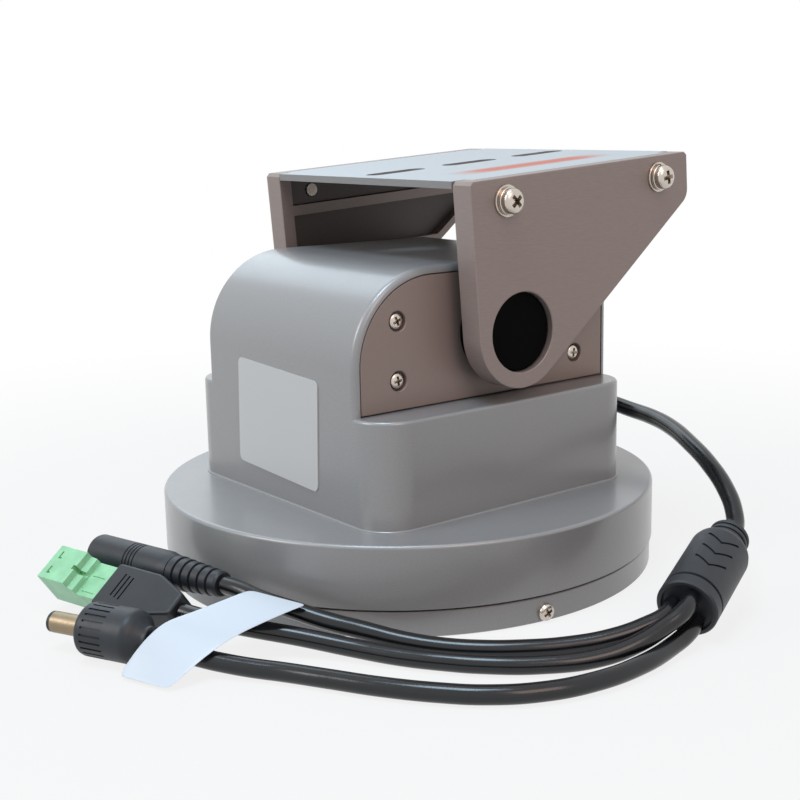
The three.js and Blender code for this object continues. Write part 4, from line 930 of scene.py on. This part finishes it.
def chevronArm(side, turn, middle):
    arm = boxShape(*splitter["arm"])
    lengthwise = [e for e in arm.edges if not near(e.verts[0].co.x, e.verts[1].co.x)]
    bmesh.ops.subdivide_edges(arm, edges=lengthwise, cuts=splitter["armCuts"])
    moved(arm, Matrix.Diagonal((side, 1, 1, 1)) @ turned(splitter["armLean"], "Y"))
    bmesh.ops.recalc_face_normals(arm, faces=arm.faces)
    for v in arm.verts:
        # bent round the body: x becomes the way round, y the depth below the surface
        way, reach = v.co.x / splitter["body"], splitter["body"] + v.co.y
        v.co.x, v.co.y = reach * math.sin(way), reach * math.cos(way)
    return moved(arm, placeAt(0, 0, middle) @ turned(turn))


def makeSplitter():
    neck, neckLength, body = picked(splitter, "neck", "neckLength", "body")
    profile = [(0, 0), (neck - splitter["ring"][-1][0], 0)]
    for step in range(splitter["rings"]):
        profile += dips(neck, splitter["ringStart"] + step * splitter["pitch"], splitter["ring"])
    profile += dips(body, neckLength, splitter["shoulder"])
    profile += dips(body, neckLength + splitter["length"], splitter["end"], -1)
    tools = [chevronArm(side, turn, neckLength + middle) for turn in splitter["chevronTurns"]
             for middle in splitter["chevrons"] for side in (-1, 1)]
    bm = combined(latheShape(profile, 64), tools)
    return moulded("splitterBody", bm, aimed(*splitter["axis"]), "splitter")


jack = {
    "axis": ((-27.3, -91, 12.2), (0.967, 0.253, 0)), "radius": 5.25, "length": 31,
    "pin": ((0, 0.8), (0.7, 0.8), (1.0, 1.3), (1.0, 9)), "bore": ((3, 9), (3, 0.5), (3.3, 0)),
    "mouth": ((0.7, 0), (0.2, 0.2), (0, 0.7)), "grooves": 4, "grooveStart": 14.8, "pitch": 1.25,
    "groove": ((0, 0), (0.3, 0.12), (0.3, 0.42), (0, 0.54)), "end": ((0, 3.0), (0.35, 1.2), (0.65, 0)),
}
boot = {
    "gap": 0.3, "length": 17.8, "rings": 6, "radius": 4.7, "taper": 1.4, "bandStart": ((0.1, 0), (0, 0.15)),
    "bandEnd": ((0, 0.75), (0.1, 0.6)), "groove": ((0.65, 0.5), (0.65, 0.05)),
    "end": ((3.3, -0.2), (3.1, 0), (0, 0)),
}


def makeJack():
    r, length = jack["radius"], jack["length"]
    profile = list(jack["pin"] + jack["bore"]) + dips(r, 0, jack["mouth"])
    for step in range(jack["grooves"]):
        profile += dips(r, jack["grooveStart"] + jack["pitch"] * step, jack["groove"])
    profile += dips(r, length, jack["end"], -1) + [(0, length)]
    return moulded("jack", latheShape(profile, 48), aimed(*jack["axis"]), "dc_jack")


def makeBoot():
    start, length, rings = jack["length"] + boot["gap"], boot["length"], boot["rings"]
    pitch = length / rings
    profile = [(0, start)]
    for step in range(rings):
        z = start + step * pitch
        r = boot["radius"] - boot["taper"] * step / rings
        profile += dips(r, z, boot["bandStart"]) + dips(r, z + pitch, boot["bandEnd"], -1)
        if step < rings - 1:
            profile += dips(r, z + pitch, boot["groove"], -1)
    profile += [(radius, start + length + at) for radius, at in boot["end"]]
    return moulded("boot", latheShape(profile, 48), aimed(*jack["axis"]), "jack_boot")


adapter = {
    "place": (-5.3, -97.9, 8), "direction": (0.969, 0.245, 0), "roll": 35, "length": 27, "straight": 16.5,
    "half": 6.8, "endHalf": 3.4, "thick": 8.8, "endThickShare": 0.85, "edge": 0.9,
    "lines": ((5.2, 0.3), (6.9, 0), (8.6, -0.3)), "lineHalf": 0.28, "lineReach": (-3.6, 3.6),
    "lineDepth": 0.4,
}
# the terminal's spans are along it, from its seat, its step or its far end, and across it
terminal = {
    "half": 5.5, "length": 20.4, "gap": 0.3, "step": 7, "slope": 2.5, "slopeInset": 0.3,
    "slopeDrops": (2.3, 1.9), "bottom": 3, "low": 3.6, "high": 7.6, "pitch": 5.08, "edge": 0.22, "above": 1,
    "crease": 25,
    "keySpan": (-1.2, 2), "keyHalf": 0.65, "keyDepth": 3.4,
    "wireHole": ((-1, 5), (-1.7, 1.7), (-1.4, 2.6)),
    "marks": (((2.2, 2.8), (-1.2, 1.2)), ((2.7, 3.5), (-1.2, -0.7))), "markDepth": 0.8,
    "groove": ((-6, -1.2), (-1.75, -1.35)), "grooveDepth": 0.3,
}


def adapterFrame():
    along = Vector(adapter["direction"]).normalized()
    up = Matrix.Rotation(math.radians(adapter["roll"]), 3, along) @ Vector((0, 0, 1))
    across = up.cross(along)
    return placeAt(*adapter["place"]) @ Matrix((along, across, up)).transposed().to_4x4()


def makeAdapter():
    half, length, straight, lineHalf = picked(adapter, "half", "length", "straight", "lineHalf")
    thick = adapter["thick"] / 2
    bm = boxShape((0, length), (-half, half), (-thick, thick))
    bmesh.ops.bisect_plane(bm, geom=bm.verts[:] + bm.edges[:] + bm.faces[:],
                           plane_co=(straight, 0, 0), plane_no=(1, 0, 0))
    tail = [v for v in bm.verts if near(v.co.x, length)]
    bmesh.ops.scale(bm, vec=(1, adapter["endHalf"] / half, adapter["endThickShare"]), verts=tail)
    rounded(bm, bm.edges[:], adapter["edge"], 3)
    lines = [boxShape((x - lineHalf, x + lineHalf), shifted(adapter["lineReach"], lag),
                      (thick - adapter["lineDepth"], thick + overrun)) for x, lag in adapter["lines"]]
    return moulded("adapter", combined(bm, lines), adapterFrame(), "terminal_adapter")


def makeTerminal():
    half, bottom, high, low, above = picked(terminal, "half", "bottom", "high", "low", "above")
    seat, inset, (lowDrop, highDrop) = -terminal["gap"], terminal["slopeInset"], terminal["slopeDrops"]
    end = seat - terminal["length"]
    step = seat - terminal["step"]
    stepEnd = step - terminal["slope"]
    bm = bmesh.new()
    outline = [(seat, -bottom), (seat, low), (step, low), (step - inset, high - lowDrop),
               (stepEnd + inset, high - highDrop), (stepEnd, high), (end, high), (end, -bottom)]
    bm.faces.new([bm.verts.new((x, -half, z)) for x, z in outline])
    pulled(bm, (0, 2 * half, 0))
    rounded(bm, bm.edges[:], terminal["edge"], 2)
    back, front = terminal["keySpan"]
    tools = [boxShape((stepEnd + back, step + front), (-terminal["keyHalf"], terminal["keyHalf"]),
                      (high - terminal["keyDepth"], high + above))]
    for side in (-1, 1):
        y = side * terminal["pitch"] / 2
        alongHole, acrossHole, upHole = terminal["wireHole"]
        alongGroove, acrossGroove = terminal["groove"]
        tools.append(boxShape(shifted(alongHole, end), shifted(acrossHole, y), upHole))
        for alongMark, acrossMark in terminal["marks"]:
            tools.append(boxShape(shifted(alongMark, end), shifted(acrossMark, y),
                                  (high - terminal["markDepth"], high + above)))
        tools.append(boxShape(shifted(alongGroove, seat), shifted(acrossGroove, y),
                              (low - terminal["grooveDepth"], low + above)))
    return finished("terminal", moved(combined(bm, tools), adapterFrame()), "terminalGreen", "head",
                    "terminal_plug", terminal["crease"])


plug = {
    "axis": ((12.9, -113, 7), (0.908, 0.418, 0)), "radius": 6.9, "length": 14.5, "tail": 3.3,
    "nose": ((6.9, 0), (1.6, 0), (0.7, 0.2), (0.2, 0.7), (0, 1.5)),
    "shoulder": ((0, -0.5), (0.5, 1), (1.6, 2)),
    "tailEnd": ((-0.5, 3.3), (0, 4), (0, 4.8), (0.2, 5), (3.3, 5)),
    "grips": 24, "grip": ((-0.28, 0.28), (-0.4, 1), (2.4, 9.0)),
}
barrel = {
    "radius": 2.75, "tip": -12.1, "bore": ((0, -1.1), (1.25, -1.1)),
    "mouth": ((1.5, 0.2), (1.25, 0), (0.35, 0), (0.05, 0.3), (0.05, 1.15), (0, 1.2)), "ringEnd": 1.18,
    "root": -0.3,
}


def makePlug():
    r, length = plug["radius"], plug["length"]
    profile = dips(r, 0, plug["nose"]) + dips(r, length, plug["shoulder"])
    profile += dips(plug["tail"], length, plug["tailEnd"])
    tools = []
    for index in range(plug["grips"]):
        gripAt = turned(index * fullTurn / plug["grips"]) @ placeAt(0, r, 0)
        tools.append(moved(boxShape(*plug["grip"]), gripAt))
    return moulded("plugBody", combined(latheShape(profile, 56), tools), aimed(*plug["axis"]), "dc_plug")


def makeBarrel():
    # plated sleeve with a black ring at its mouth
    tip, r, root = picked(barrel, "tip", "radius", "root")
    profile = list(barrel["bore"]) + dips(r, tip, barrel["mouth"]) + [(r, root), (0, root)]
    bm = latheShape(profile, 40)
    for face in bm.faces:
        face.material_index = 1 if face.calc_center_median().z < tip + barrel["ringEnd"] else 0
    return finished("plugBarrel", moved(bm, aimed(*plug["axis"])), ("platedBarrel", "blackPlastic"), "head",
                    "dc_plug_barrel")


makeGland()
splitterPiece = makeSplitter()
jackPiece = makeJack()
bootPiece = makeBoot()
adapterPiece = makeAdapter()
terminalPiece = makeTerminal()
plugPiece = makePlug()
barrelPiece = makeBarrel()
print("stage: connectors made")

# flag, a bare strip over the cords, drawn as rows along its length: y, z and how far y and z lean across it

flag = {
    "centre": 39.4, "width": 15, "thick": 0.3, "cuts": 5, "levels": 3,
    "rows": ((-73.4, 12.5, 0.51, -0.12), (-76.5, 12.4, 0.51, -0.12), (-80.6, 11.9, 0.48, -0.12),
             (-86.1, 11.2, 0.48, -0.13), (-91.8, 10.5, 0.47, -0.15), (-97.2, 9.6, 0.43, -0.23),
             (-100.8, 8.3, 0.38, -0.27), (-105.6, 5.7, 0.34, -0.24), (-109.5, 2.7, 0.34, -0.12),
             (-112.1, 0.5, 0.37, 0)),
}


def makeFlag():
    bm = bmesh.new()
    half = flag["width"] / 2
    rows = [bm.verts.new((flag["centre"] - half, y - leanY * half, z - leanZ * half + flag["thick"]))
            for y, z, leanY, leanZ in flag["rows"]]
    grown = bmesh.ops.extrude_edge_only(bm, edges=[bm.edges.new(pair) for pair in zip(rows, rows[1:])])
    far = [v for v in grown["geom"] if isinstance(v, bmesh.types.BMVert)]
    for vert, (y, z, leanY, leanZ) in zip(sorted(far, key=lambda v: -v.co.y), flag["rows"]):
        vert.co += Vector((1, leanY, leanZ)) * flag["width"]
    crosswise = [e for e in bm.edges if not near(e.verts[0].co.x, e.verts[1].co.x)]
    bmesh.ops.subdivide_edges(bm, edges=crosswise, cuts=flag["cuts"])
    bmesh.ops.recalc_face_normals(bm, faces=bm.faces)
    if sum(f.normal.z for f in bm.faces) < 0:
        bmesh.ops.reverse_faces(bm, faces=bm.faces)
    piece = finished("flagStrip", bm, "flagFilm", "head", "cable_flag", 180, weighted=False)
    wall = piece.modifiers.new("wall", "SOLIDIFY")
    wall.thickness = flag["thick"] * millimetre
    wall.offset = -1
    soft = piece.modifiers.new("soft", "SUBSURF")
    soft.levels = soft.render_levels = flag["levels"]
    return piece


flagPiece = makeFlag()
print("stage: flag made")

# finishes for what stays from the frame

kept = {
    "brushedGrey": ("base_plate",),
    "brass": ("pan_gear", "pan_bearing_cage", "tilt_gear", "pan_pinion", "tilt_pinion"),
    "steel": ("pan_spindle", "spindle_nut", "pan_bearing_inner", "pan_bearing_outer", "tilt_shaft",
              "pan_motor", "motor_frame", "tilt_motor"),
    "bronze": ("right_tilt_bush", "left_tilt_bush"),
    "whiteNylon": ("pan_gearbox", "tilt_gearbox"),
    "blackPlastic": ("tilt_limit_switch",),
    "boardGreen": ("control_board",),
}
for finish, nodes in kept.items():
    for node in nodes:
        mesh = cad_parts[node].data
        mesh.materials.clear()
        mesh.materials.append(finishes[finish])
